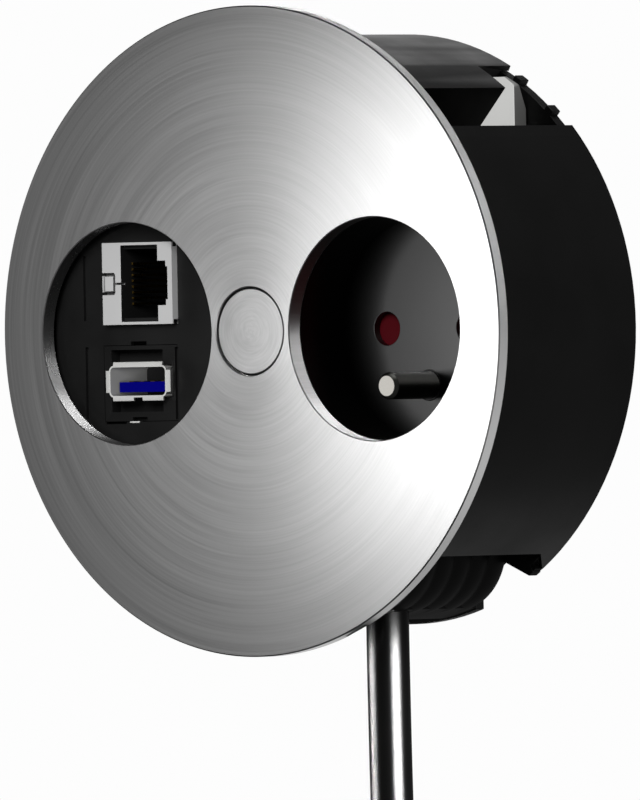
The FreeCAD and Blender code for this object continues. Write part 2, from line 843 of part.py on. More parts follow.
def terminal_depth():
    """The depth of the wires in the terminals."""
    return socket_back_end + slide_gap + terminal_long / 2


def contact(side):
    """A split brass sleeve for a plug's pin, with its terminal."""
    x = hole_offset + side * contact_pitch / 2
    body = tube(contact_sleeve_r, contact_sleeve_r - contact_wall, sleeve_front, sleeve_back, x)
    body = body.cut(centred_block(x, 0, contact_slit, 3 * contact_sleeve_r, sleeve_front, sleeve_back - 2))
    root = cylinder(contact_sleeve_r, sleeve_back, socket_back_end + slide_gap, x)
    body = joined([body, root, terminal(x, 0)])
    return terminal_holes(body, x, 0)


def terminal_holes(body, x, z):
    """A terminal with the hole for its wire, from below, and that of its screw, from the rear."""
    depth = terminal_depth()
    wire = Part.makeCylinder(wire_r + slide_gap, terminal_side / 2 + 1.5,
                             Vector(x, at(depth), z - terminal_side / 2), Vector(0, 0, 1))
    hole = cylinder(terminal_screw_r, depth + 1.6, socket_back_end + terminal_long + 1, x, z)
    return body.cut(wire).cut(hole)


def earth_pin():
    """The earth pin of the socket, with its terminal."""
    z = -earth_pin_drop
    tip = earth_pin_r - earth_tip_r
    body = joined([
        cone(earth_tip_r, earth_pin_r, earth_pin_front, earth_pin_front + tip, hole_offset, z),
        cylinder(earth_pin_r, earth_pin_front + tip, well_floor_depth, hole_offset, z),
        cylinder(earth_root_r, well_floor_depth, socket_back_end + slide_gap, hole_offset, z),
        terminal(hole_offset, z),
    ])
    return terminal_holes(body, hole_offset, z)


def terminal_screws():
    """The three terminal screws."""
    depth = terminal_depth()
    back = socket_back_end + slide_gap + terminal_long
    places = [(hole_offset - contact_pitch / 2, 0), (hole_offset + contact_pitch / 2, 0),
              (hole_offset, -earth_pin_drop)]
    return group([screw(x, z, back + 1.2, depth + 1.7, terminal_screw_r, flat_head_r, 1.2, False)
                  for x, z in places])


def jack_cavity(near, back):
    """The hollow of a network jack between two depths, with its key steps."""
    left = jack_x - jack_wide / 2 + jack_open_left
    right = left + jack_open_wide
    return joined([
        block(left, right, near, back, jack_z - jack_open_tall / 2, jack_z + jack_open_tall / 2),
        centred_block(right + jack_key_wide / 2 - 0.1, jack_z, jack_key_wide + 0.2, jack_key_tall,
                      near, back),
        centred_block(right + jack_key_wide + jack_slot_wide / 2 - 0.1, jack_z, jack_slot_wide + 0.2,
                      jack_slot_tall, near, back),
    ])


def jack_body():
    """The body of the network jack: a coupler with a port at each end."""
    body = centred_block(jack_x, jack_z, jack_wide, jack_tall, jack_front, jack_shoulder)
    rear = centred_block(jack_x, jack_z, jack_wide - 0.6, jack_tall - 0.6, jack_shoulder, module_back)
    body = joined([body, rear])
    body = body.cut(jack_cavity(jack_front, jack_front + jack_cavity_deep))
    body = body.cut(jack_cavity(module_back - jack_cavity_deep, module_back))
    left = jack_x - jack_wide / 2 + jack_open_left
    lip = block(left, left + jack_open_wide, jack_front, jack_front + 0.8,
                jack_z - jack_lip_tall / 2, jack_z + jack_lip_tall / 2)
    body = body.cut(lip)
    edge = jack_x - jack_wide / 2
    groove_end = jack_front + jack_groove_deep
    middle = edge + jack_hook_wide / 2 + 0.2
    hook = centred_block(middle, jack_z, jack_hook_wide, jack_hook_tall, jack_front, groove_end)
    hook_core = centred_block(middle, jack_z, jack_hook_wide - 2 * jack_groove,
                              jack_hook_tall - 2 * jack_groove, jack_front, groove_end)
    slit = block(edge + jack_hook_wide + 0.2, left, jack_front, groove_end,
                 jack_z - jack_groove / 2, jack_z + jack_groove / 2)
    return body.cut(hook.cut(hook_core)).cut(slit)


def jack_contacts():
    """The eight sprung wires in each port of the jack."""
    left = jack_x - jack_wide / 2 + jack_open_left
    wires = []
    for index in range(jack_wires):
        z = jack_z + (index - (jack_wires - 1) / 2) * jack_wire_pitch
        for mouth, inward in ((jack_front, 1), (module_back, -1)):
            outline = [
                (left, mouth + inward * 3.0),
                (left + 0.4, mouth + inward * 3.0),
                (left + 2.6, mouth + inward * 10.0),
                (left + 2.6, mouth + inward * 10.5),
                (left + 2.2, mouth + inward * 10.5),
                (left, mouth + inward * 3.8),
            ]
            corners = [Vector(x, at(depth), z - 0.2) for x, depth in outline]
            wires.append(Part.Face(Part.makePolygon(corners + corners[:1])).extrude(Vector(0, 0, 0.4)))
    return group(wires)


def usb_insert():
    """The black module that holds the USB port, with a recess round its lips."""
    body = centred_block(usb_insert_x, usb_insert_z, usb_insert_wide, usb_insert_tall,
                         plate_depth, module_back)
    recess = centred_block(usb_x, usb_insert_z, usb_recess_wide, usb_recess_tall, plate_depth,
                           plate_depth + usb_recess_deep)
    body = body.cut(recess)
    port = centred_block(usb_x, usb_z, usb_wide + 2 * usb_sheet, usb_tall + 2 * usb_sheet,
                         plate_depth, usb_front + usb_deep + usb_sheet)
    rear_port = centred_block(usb_x, usb_z, usb_wide, usb_tall, module_back - usb_deep, module_back)
    return body.cut(port).cut(rear_port)


def usb_shell():
    """The steel shell of the USB port, with its flared lips."""
    back = usb_front + usb_deep + usb_sheet
    outer = centred_block(usb_x, usb_z, usb_wide + 2 * usb_sheet, usb_tall + 2 * usb_sheet, usb_front, back)
    body = outer.cut(centred_block(usb_x, usb_z, usb_wide, usb_tall, usb_front, back - usb_sheet))
    reach = usb_sheet + usb_lip
    lips = []
    for side in (-1, 1):
        x = usb_x + side * (usb_wide / 2 + reach / 2)
        lips.append(centred_block(x, usb_z, reach, usb_tall * 0.8, usb_front, usb_front + usb_lip_deep))
    top = usb_z + usb_tall / 2 + reach / 2
    low = usb_z - usb_tall / 2 - reach / 2
    lips.append(centred_block(usb_x, top, usb_wide * 0.82, reach, usb_front, usb_front + usb_lip_deep))
    for side in (-1, 1):
        lips.append(centred_block(usb_x + side * usb_wide * 0.26, low, usb_wide * 0.32, reach,
                                  usb_front, usb_front + usb_lip_deep))
    return joined([body] + lips)


def usb_tongue():
    """The plastic tongue in the USB port."""
    back = usb_front + usb_deep
    return block(usb_x - usb_tongue_half, usb_x + usb_tongue_half, usb_front + usb_tongue_set_back, back,
                 usb_z + usb_tongue_low, usb_z + usb_tongue_top)


def usb_contacts():
    """The four contact strips on the tongue."""
    strips = []
    for index in range(4):
        x = usb_x + (index - 1.5) * usb_strip_pitch
        top = usb_z + usb_tongue_top
        near = usb_front + usb_tongue_set_back + 1
        strips.append(block(x - usb_strip_wide / 2, x + usb_strip_wide / 2,
                            near, usb_front + usb_deep - 0.5, top, top + 0.15))
    return group(strips)


def claw():
    """A clamp claw at rest, standing upright beside its channel, in the first quarter."""
    x, z = claw_pivot
    back = back_front - 0.2
    tip_back = claw_front_depth + claw_tip_thick
    root_back = claw_front_depth + claw_root_thick
    top = z + claw_length
    arm = block(x - claw_half, x + claw_half, claw_front_depth, root_back, z, top)
    corner = [edge for edge in arm.Edges
              if abs(edge.Vertexes[0].Z - top) < 0.001 and abs(edge.Vertexes[-1].Z - top) < 0.001
              and abs(edge.Vertexes[0].X - edge.Vertexes[-1].X) < 0.001]
    arm = arm.makeFillet(claw_corner, corner)
    body = joined([arm, cylinder(claw_half, claw_front_depth, root_back, x, z)])
    slope_end = top - claw_slope_long
    slope = [(tip_back, top), (root_back, slope_end), (root_back + 1, slope_end),
             (root_back + 1, top + 1), (tip_back, top + 1)]
    corners = [Vector(x - 8, at(depth), height) for depth, height in slope]
    wedge = Part.Face(Part.makePolygon(corners + corners[:1])).extrude(Vector(16, 0, 0))
    body = body.cut(wedge).common(cylinder(skirt_r - 0.1, claw_front_depth, back))
    return body.cut(cylinder(clamp_screw_r, claw_front_depth, root_back, x, z))


def clamp_screw():
    """The long screw that carries a claw, in the first quarter."""
    x, z = claw_pivot
    return screw(x, z, plate_depth + 0.05, back_front + 1.4, clamp_screw_r, clamp_head_r, clamp_head_thick)


def cable_barrel():
    """The ribbed barrel that takes the cable in from below."""
    back = back_front
    front = barrel_front
    bottom = barrel_r - rib_high
    edges = []

    def point(depth, radius):
        return Vector(barrel_x, at(depth), barrel_z + radius)

    edges.append(Part.LineSegment(point(back, 0), point(front, 0)).toShape())
    edges.append(Part.LineSegment(point(front, 0), point(front, bottom)).toShape())
    for rib in range(rib_count):
        near = front + rib * rib_pitch
        edges.append(Part.Arc(point(near, bottom), point(near + rib_pitch / 2, barrel_r),
                              point(near + rib_pitch, bottom)).toShape())
    edges.append(Part.LineSegment(point(back, bottom), point(back, 0)).toShape())
    body = Part.Face(Part.Wire(edges)).revolve(Vector(barrel_x, 0, barrel_z), Vector(0, 1, 0), 360)
    foot = block(barrel_x - foot_half, barrel_x + foot_half, cable_depth - 6, back, foot_z, barrel_z)
    body = joined([body, foot.common(cylinder(skirt_r - slide_gap, cable_depth - 6, back))])
    body = body.cut(cylinder(barrel_core_r, front + barrel_floor, back, barrel_x, barrel_z))
    low, top = barrel_z + seat_low, barrel_z + seat_top
    seat = block(barrel_x - seat_half, barrel_x + seat_half, seat_front, seat_back, low, top)
    seat = seat.common(cylinder(barrel_core_r + 0.5, seat_front, back, barrel_x, barrel_z))
    post = block(barrel_x - seat_half + 1, barrel_x + seat_half - 1, front + 1, seat_front + 0.5, low, top)
    body = joined([body, seat, post])
    entry = Part.makeCylinder(cable_r + cable_gap, 12.0, Vector(barrel_x, at(cable_depth), foot_z - 1),
                              Vector(0, 0, 1))
    body = body.cut(entry)
    window = block(barrel_x - barrel_window_half, barrel_x + barrel_window_half,
                   front + barrel_window_front, back - barrel_window_rear,
                   barrel_z + 4, barrel_z + barrel_r + 1)
    body = body.cut(window)
    for x in clamp_bar_screws_x():
        body = body.cut(cylinder(clamp_bar_screw_r, seat_front + 0.2, cable_depth,
                                 x, barrel_z + clamp_bar_z))
    return body


def clamp_bar_screws_x():
    """The X of the two clamp bar screws."""
    reach = cable_r + clamp_bar_screw_r + 0.25
    return barrel_x - reach, barrel_x + reach


def barrel_cap():
    """The disc that closes the barrel's rear."""
    return cylinder(barrel_core_r - slide_gap, back_front - 2.0, back_front - slide_gap, barrel_x, barrel_z)


def cable_clamp():
    """The bar that presses the cable against its seat in the barrel."""
    near = cable_depth + cable_r + cable_gap
    back = near + clamp_bar_thick
    body = centred_block(barrel_x, barrel_z + clamp_bar_z, 2 * clamp_bar_half, clamp_bar_high, near, back)
    body = body.common(cylinder(barrel_core_r - 0.1, near, back, barrel_x, barrel_z))
    for x in clamp_bar_screws_x():
        body = body.cut(cylinder(clamp_bar_screw_r + 0.1, near, back, x, barrel_z + clamp_bar_z))
    return body


def cable_clamp_screws():
    """The two screws of the clamp bar."""
    near = cable_depth + cable_r + cable_gap + clamp_bar_thick
    return group([screw(x, barrel_z + clamp_bar_z, near + 1, seat_front + 0.6, clamp_bar_screw_r,
                        clamp_bar_screw_head_r, 1.0, False) for x in clamp_bar_screws_x()])


def cable_sheath():
    """The end of the cable's sheath inside the barrel."""
    start = Vector(barrel_x, at(cable_depth), cable_start_z)
    return Part.makeCylinder(cable_r, sheath_end_z - cable_start_z, start, Vector(0, 0, 1))


def wires():
    """The three insulated wires from the sheath to the terminals."""
    depth = terminal_depth()
    low = -terminal_side / 2
    neutral_x, live_x = hole_offset - contact_pitch / 2, hole_offset + contact_pitch / 2
    starts = {"neutral": (-wire_spread, wire_rear), "live": (wire_spread, wire_rear),
              "earth": (0.0, wire_front)}
    ends = {"neutral": (neutral_x, low), "live": (live_x, low),
            "earth": (hole_offset, low - earth_pin_drop)}
    made = {}
    for name, (aside, behind) in starts.items():
        x, z = ends[name]
        rise, reach, dip, drop = wire_bends[name]
        start = Vector(barrel_x + aside, at(cable_depth + behind), sheath_end_z)
        points = [start, start + Vector(0, 0, rise), (x - reach, at(depth - 2.0), z - dip),
                  (x, at(depth), z - drop), (x, at(depth), z)]
        made["wire_" + name] = bent_tube(points, wire_r)[0]
    return made


def power_cable():
    """The free cable below the barrel, hanging at its real length."""
    shape, radii, length = bent_tube(cable_route, cable_r)
    print("power cable: length %.1f, arcs %s" % (length, ", ".join("%.0f" % r for r in radii)))
    print("power cable: volume %.1f, section times length %.1f"
          % (shape.Volume, math.pi * cable_r ** 2 * length))
    return shape


def connector_end():
    """X, Y and Z of the cable's lower end."""
    return cable_route[-1]


def connector_body():
    """The body of the installation connector at the cable's end."""
    x, y, z = connector_end()
    neck = Part.makeCone(cable_r + 1.4, cable_r + 2.6, connector_neck, Vector(x, y, z), Vector(0, 0, -1))
    top = z - connector_neck
    body = Part.makeBox(connector_wide, connector_deep, connector_long,
                        Vector(x - connector_wide / 2, y - connector_deep / 2, top - connector_long))
    body = body.makeFillet(1.6, [e for e in body.Edges if abs(e.Vertexes[0].Z - e.Vertexes[-1].Z) > 1])
    mouth_wide, mouth_tall = connector_wide - 2 * connector_wall, connector_deep - 2 * connector_wall
    mouth = Part.makeBox(mouth_wide, mouth_tall, connector_mouth_deep,
                         Vector(x - mouth_wide / 2, y - mouth_tall / 2, top - connector_long))
    return joined([neck, body]).cut(mouth)


def connector_pins():
    """The three pins in the connector's mouth."""
    x, y, z = connector_end()
    top = z - connector_neck - connector_long + connector_mouth_deep
    places = [Vector(x + side * connector_pin_pitch, y, top) for side in (-1, 0, 1)]
    return group([Part.makeCylinder(connector_pin_r, connector_pin_long, place, Vector(0, 0, -1))
                  for place in places])


def connector_latch():
    """The sprung latch on the connector's side."""
    x, y, z = connector_end()
    low = z - connector_neck - connector_long + latch_drop
    front = y - connector_deep / 2 - latch_thick
    body = Part.makeBox(latch_wide, latch_thick, latch_long, Vector(x - latch_wide / 2, front, low))
    tip = Part.makeBox(latch_wide, 1.0, latch_tip_high, Vector(x - latch_wide / 2, front - 1.0, low))
    return joined([body, tip])


def parts():
    """Every node of the part, by name."""
    made = {
        "cover_plate": cover_plate(),
        "cover_carrier": cover_carrier(),
        "hub_clip": hub_clip(),
        "lock_spring": lock_spring(),
        "button_cap": button_cap(),
        "button_stem": button_stem(),
        "button_spring": button_spring(),
        "housing": housing(),
        "front_plate": front_plate(),
        "plate_screws": plate_screws(),
        "hub_bush": hub_bush(),
        "back_cover": back_cover(),
        "back_screws": back_screws(),
        "socket_insert": socket_insert(),
        "safety_shutter": safety_shutter(),
        "shutter_spring": shutter_spring(),
        "socket_back": socket_back(),
        "socket_screws": socket_screws(),
        "contact_neutral": contact(-1),
        "contact_live": contact(1),
        "earth_pin": earth_pin(),
        "terminal_screws": terminal_screws(),
        "jack_body": jack_body(),
        "jack_contacts": jack_contacts(),
        "usb_insert": usb_insert(),
        "usb_shell": usb_shell(),
        "usb_tongue": usb_tongue(),
        "usb_contacts": usb_contacts(),
        "cable_barrel": cable_barrel(),
        "barrel_cap": barrel_cap(),
        "cable_clamp": cable_clamp(),
        "cable_clamp_screws": cable_clamp_screws(),
        "cable_sheath": cable_sheath(),
        "power_cable": power_cable(),
        "connector_body": connector_body(),
        "connector_pins": connector_pins(),
        "connector_latch": connector_latch(),
    }
    made.update(wires())
    for number, side in enumerate(claw_places(), 1):
        made["clamp_claw_%d" % number] = placed(claw(), *side)
        made["clamp_screw_%d" % number] = placed(clamp_screw(), *side)
    return made


os.makedirs("parts", exist_ok=True)
for name, shape in parts().items():
    if not shape.isValid() or not shape.Solids:
        print("check", name, shape.isValid(), len(shape.Solids))
    shape.exportStep("parts/%s.step" % name)
    print("%-20s %d solids, %.0f mm3" % (name, len(shape.Solids), shape.Volume))
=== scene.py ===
"""Looks of the built-in socket unit: a brushed steel cover on a black moulded shell, with its hanging lead.

Sizes are in millimetres in the object's frame: +Z up, the front faces -Y, and a depth counts backwards from
the front face of the cover. Each mesh is scaled to metres when it is made.
"""
import json
import math

import bmesh
import bpy
from mathutils import Matrix, Vector

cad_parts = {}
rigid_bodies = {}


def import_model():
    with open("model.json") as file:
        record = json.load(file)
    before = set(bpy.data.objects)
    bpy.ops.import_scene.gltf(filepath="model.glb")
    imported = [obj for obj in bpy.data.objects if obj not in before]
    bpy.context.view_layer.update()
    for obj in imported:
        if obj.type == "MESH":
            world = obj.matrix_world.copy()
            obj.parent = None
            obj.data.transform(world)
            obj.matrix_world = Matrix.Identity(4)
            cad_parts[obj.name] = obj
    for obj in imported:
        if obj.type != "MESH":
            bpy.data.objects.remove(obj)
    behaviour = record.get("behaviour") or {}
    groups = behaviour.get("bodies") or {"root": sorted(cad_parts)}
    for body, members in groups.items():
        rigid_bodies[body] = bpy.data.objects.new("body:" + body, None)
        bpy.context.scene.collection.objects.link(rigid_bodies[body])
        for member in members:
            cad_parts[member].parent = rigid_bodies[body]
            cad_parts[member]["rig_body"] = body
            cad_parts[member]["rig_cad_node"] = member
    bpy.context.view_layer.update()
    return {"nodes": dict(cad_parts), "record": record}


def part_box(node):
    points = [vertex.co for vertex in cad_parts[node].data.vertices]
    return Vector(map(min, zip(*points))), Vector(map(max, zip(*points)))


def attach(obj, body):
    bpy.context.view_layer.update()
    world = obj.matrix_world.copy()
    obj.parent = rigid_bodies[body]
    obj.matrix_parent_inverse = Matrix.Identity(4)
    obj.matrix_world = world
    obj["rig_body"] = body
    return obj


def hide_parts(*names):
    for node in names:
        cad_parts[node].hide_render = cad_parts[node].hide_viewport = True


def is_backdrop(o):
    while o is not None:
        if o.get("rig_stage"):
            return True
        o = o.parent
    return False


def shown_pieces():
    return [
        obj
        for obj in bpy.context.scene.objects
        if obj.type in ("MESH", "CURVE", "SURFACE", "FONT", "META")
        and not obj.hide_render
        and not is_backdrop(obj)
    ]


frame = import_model()

MILLI = 0.001

# The cover and its button
cover_r = 57.5
cover_proud = 2.4
sheet = 0.8
rim_wall = 1.0
rim_depth = 2.3
rim_chamfer = 0.22
hole_r = 19.7
hole_x = 28.7
collar_wall = 0.6
collar_depth = 3.0
edge_break = 0.15
pry_angle = -67.5
pry_wide = 5.3
pry_deep = 1.1
insert_gap = 0.05
button_r = 7.55
button_hole_r = 7.85
button_front = 0.27
button_back = 1.6

# The number of steps round each turned form
cover_steps = 256
hole_steps = 192
button_steps = 128

# The front plate, with the grooves and notches at its modules: left, right, low, high and depth of each
plate_depth = 4.6
groove_deep = 0.6
plate_cuts = (
    (-42.6, -41.8, 2.4, 13.9, groove_deep),
    (-42.4, -41.6, -15.05, -2.25, groove_deep),
    (-21.5, -20.7, -15.35, -2.5, groove_deep),
    (-31.75, -28.05, -2.36, -1.36, 0.9),
    (-37.775, -33.025, -15.975, -15.425, 0.9),
)

# The network jack, with the grooves of its latch, and where its inside is painted with shade: black in the
# hollow and a darker grey in the grooves
jack_x = -28.8
jack_z = 8.9
jack_wide = 16.26
jack_front = 3.2
jack_half_tall = 7.28
jack_step = 0.83
jack_step_back = 0.35
latch_end = 2.8
latch_low = -1.98
latch_high = 1.43
latch_groove = 0.52
latch_deep = 1.2
latch_cross_wide = 0.3
latch_cross_half = 1.5
latch_cross_deep = 0.8
latch_slit_overlap = 0.1
latch_slit_long = 2.0
latch_slit_half = 0.2
mouth_start = 4.25
mouth_end = 15.3
mouth_half_tall = 6.85
latch_start = 0.5
latch_half_tall = 2.1

# The USB port's shell
usb_x = -29.0
usb_z = -8.45
usb_front = 3.1
usb_wide = 12.8
usb_tall = 5.06
usb_sheet = 0.3
usb_deep = 10.0
usb_corner = 1.1
lip_ahead = 0.05
lip_back = 0.3
lip_flare = 0.15

# The USB module: the solid's recess is filled first. Each cut has its left, right, low, high and depth.
port_half_wide = 6.75
port_half_tall = 2.88
port_deep = 2.6
recess_deep = 2.3
recess_fill = (-36.7, -21.3, plate_depth, plate_depth + recess_deep, -14.4, -3.2)
module_cuts = (
    (-36.4, -24.35, -13.88, -2.83, recess_deep),
    (usb_x - port_half_wide, usb_x + port_half_wide, usb_z - port_half_tall, usb_z + port_half_tall,
     port_deep),
    (-31.65, -28.15, -15.5, -14.8, 1.0),
    (-21.5, -20.9, -15.35, -2.5, groove_deep),
)
steel_tab = (-32.15, -29.85, plate_depth - 0.25, plate_depth + 0.2, -15.85, -15.5)

# Where painted shade and painted reflection begin and end on the shell, the earth pin, the port and the USB
# module's recess
shell_inside_r = 50.5
pin_bright_depth = 3.2
pin_seen_depth = 14.7
port_lip_deep = 1.0
recess_wall_start = 0.2
recess_wall_end = 3.0
recess_wall_half = 6.0

# A filler at the back cover's tail, where the solid is cut back, and its angle round the cover's axis
tail_filler = (49.9, 52.3, 41.6, 43.6, -0.5, 0.5)
tail_angle = -55.7

# How far cutting tools reach past what they cut, and how near a face lies to the plane that it is found by
cut_past = 1.0
cut_ahead = 0.5
near_face = 0.05

# Welding of points, and the angles in degrees at which faces merge and edges are rounded or stay crisp
weld_turned = 0.002
weld_solid = 0.001
flat_below = 0.5
soft_above = 35.0
smooth_below = 30.0
button_smooth_below = 40.0

# Radii of rounded edges
fine_edge_r = 0.05
lip_edge_r = 0.08
tab_edge_r = 0.1
claw_edge_r = 0.3

# Sizes of the patterns in the finishes
blotch_size = 11.0
tarnish_size = 4.0
groove_spacing = 0.35
band_spacing = 2.5
groove_relief = 0.0006

# The lead
lead_r = 3.8
lead_route = (
    (11.8, 19.8, -46.0),
    (11.8, 19.8, -86.0),
    (12.6, 20.9, -126.0),
    (12.0, 22.4, -166.0),
    (11.2, 22.9, -206.0),
    (11.2, 22.9, -246.0),
)

# The photograph's view
photo_azimuth = 40.39
photo_roll = 1.07
photo_distance = 5000.0
photo_lens = 1275.0
aim_right = 12.16
aim_up = -12.36

# The studio: the floor in metres, the background's levels, and how far lamps stand from what they light
floor_half = 2.0
background_white = 0.982
studio_dim = 0.08
cover_card_away = 150.0
lead_card_away = 40.0
lead_cards_z = -158.0
lead_cards_tall = 204.0
lead_cards_spread = 60.0
keys_away = 800.0


def at(depth):
    """The Y of a depth behind the cover's front face."""
    return depth - cover_proud


def facing(azimuth, elevation=0.0):
    """The unit vector from the object towards an azimuth and elevation."""
    a = math.radians(azimuth)
    e = math.radians(elevation)
    return Vector((math.sin(a) * math.cos(e), -math.cos(a) * math.cos(e), math.sin(e)))


def rightward(way):
    """The level vector to the right of an eye that looks at the object from this level direction."""
    return Vector((-way.y, way.x, 0.0))


def stand(name, data):
    """A new object with this data, linked into the scene."""
    made = bpy.data.objects.new(name, data)
    bpy.context.scene.collection.objects.link(made)
    return made


def make_camera():
    """A long lens at the photograph's angle, rolled as the photograph is."""
    back = facing(photo_azimuth)
    aim = Vector((0, at(0), 0)) + rightward(back) * aim_right + Vector((0, 0, aim_up))
    data = bpy.data.cameras.new("photo_camera")
    data.lens = photo_lens
    data.sensor_width = 36.0
    data.clip_start = 0.5
    data.clip_end = 60.0
    camera = stand("photo_camera", data)
    roll = Matrix.Rotation(math.radians(-photo_roll), 3, "Z")
    turn = (-back).to_track_quat("-Z", "Y").to_matrix() @ roll
    camera.rotation_mode = "QUATERNION"
    camera.rotation_quaternion = turn.to_quaternion()
    camera.location = (aim + back * photo_distance) * MILLI
    bpy.context.scene.camera = camera


def make_lead():
    """The free power lead, one smooth line through its route."""
    data = bpy.data.curves.new("power_lead", "CURVE")
    data.dimensions = "3D"
    line = data.splines.new("NURBS")
    line.points.add(len(lead_route) - 1)
    for point, spot in zip(line.points, lead_route):
        point.co = (*[value * MILLI for value in spot], 1.0)
        point.radius = lead_r * MILLI
    line.order_u = 3
    line.use_endpoint_u = True
    line.use_smooth = True
    line.resolution_u = 24
    # A curve's bounding box grows by the radius of its points, so each point carries the tube's radius.
    data.bevel_depth = 1.0
    data.bevel_resolution = 12
    data.use_fill_caps = True
    lead = stand("power_lead", data)
    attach(lead, "root")
    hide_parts("power_cable")
    return lead


make_camera()
lead = make_lead()


def linear(hex_colour):
    """An sRGB hex value as the linear colour a shader takes."""
    levels = [int(hex_colour[i:i + 2], 16) / 255 for i in (0, 2, 4)]
    return [v / 12.92 if v <= 0.04045 else ((v + 0.055) / 1.055) ** 2.4 for v in levels] + [1.0]


def per_metre(size):
    """The texture scale that gives a pattern of this size in millimetres."""
    return 1.0 / (size * MILLI)


def add(tree, kind, inputs=None, **settings):
    """A new node with its settings, its input values and its links."""
    made = tree.nodes.new(kind)
    for name, value in settings.items():
        setattr(made, name, value)
    for name, value in (inputs or {}).items():
        if isinstance(value, bpy.types.NodeSocket):
            tree.links.new(value, made.inputs[name])
        else:
            made.inputs[name].default_value = value
    return made


def finish(name, hex_colour, **settings):
    """A new material, its node tree and its shader, with constants set on the shader's own sockets."""
    material = bpy.data.materials.new(name)
    material.use_nodes = True
    tree = material.node_tree
    shader = tree.nodes["Principled BSDF"]
    shader.inputs["Base Color"].default_value = linear(hex_colour)
    for socket, value in settings.items():
        shader.inputs[socket.replace("_", " ")].default_value = value
    return material, tree, shader


def shade_variation(tree, shader, tones, tone_noise, roughness, gloss_noise, noise_range=(0.3, 0.7)):
    """Lets a noise vary the colour between two tones, and a noise vary the roughness between two values."""
    # A Mix node's sockets share their names, so the factor, the two colours and the result go by number.
    tone = add(tree, "ShaderNodeMix", {0: tone_noise, 6: linear(tones[0]), 7: linear(tones[1])},
               data_type="RGBA")
    tree.links.new(tone.outputs[2], shader.inputs["Base Color"])
    gloss = add(tree, "ShaderNodeMapRange", {"Value": gloss_noise,
                                             "From Min": noise_range[0], "From Max": noise_range[1],
                                             "To Min": roughness[0], "To Max": roughness[1]})
    tree.links.new(gloss.outputs["Result"], shader.inputs["Roughness"])


def moulded(name, hex_low, hex_high, roughness, grain, relief, **settings):
    """Injection-moulded plastic: flow blotches in tone and gloss, and a spark-eroded grain in relief."""
    material, tree, shader = finish(name, hex_low, **settings)
    spot = add(tree, "ShaderNodeTexCoord").outputs["Object"]
    blotch = add(tree, "ShaderNodeTexNoise", {"Vector": spot, "Scale": per_metre(blotch_size),
                                              "Detail": 4.0}).outputs["Fac"]
    shade_variation(tree, shader, (hex_low, hex_high), blotch, roughness, blotch)
    pits = add(tree, "ShaderNodeTexNoise", {"Vector": spot, "Scale": per_metre(grain), "Detail": 2.0})
    bump = add(tree, "ShaderNodeBump", {"Height": pits.outputs["Fac"], "Strength": 1.0,
                                        "Distance": relief * MILLI})
    tree.links.new(bump.outputs["Normal"], shader.inputs["Normal"])
    return material


def bare_metal(name, hex_low, hex_high, roughness, stretch, grain, relief):
    """Bare or plated metal: drawing lines along one axis, and a thin uneven tarnish."""
    material, tree, shader = finish(name, hex_low, Metallic=1.0)
    spot = add(tree, "ShaderNodeTexCoord").outputs["Object"]
    tarnish = add(tree, "ShaderNodeTexNoise", {"Vector": spot, "Scale": per_metre(tarnish_size),
                                               "Detail": 3.0}).outputs["Fac"]
    shade_variation(tree, shader, (hex_low, hex_high), tarnish, roughness, tarnish)
    drawn = add(tree, "ShaderNodeVectorMath", {0: spot, 1: stretch}, operation="MULTIPLY")
    lines = add(tree, "ShaderNodeTexNoise", {"Vector": drawn.outputs[0], "Scale": per_metre(grain),
                                             "Detail": 2.0})
    bump = add(tree, "ShaderNodeBump", {"Height": lines.outputs["Fac"], "Strength": 1.0,
                                        "Distance": relief * MILLI})
    tree.links.new(bump.outputs["Normal"], shader.inputs["Normal"])
    return material


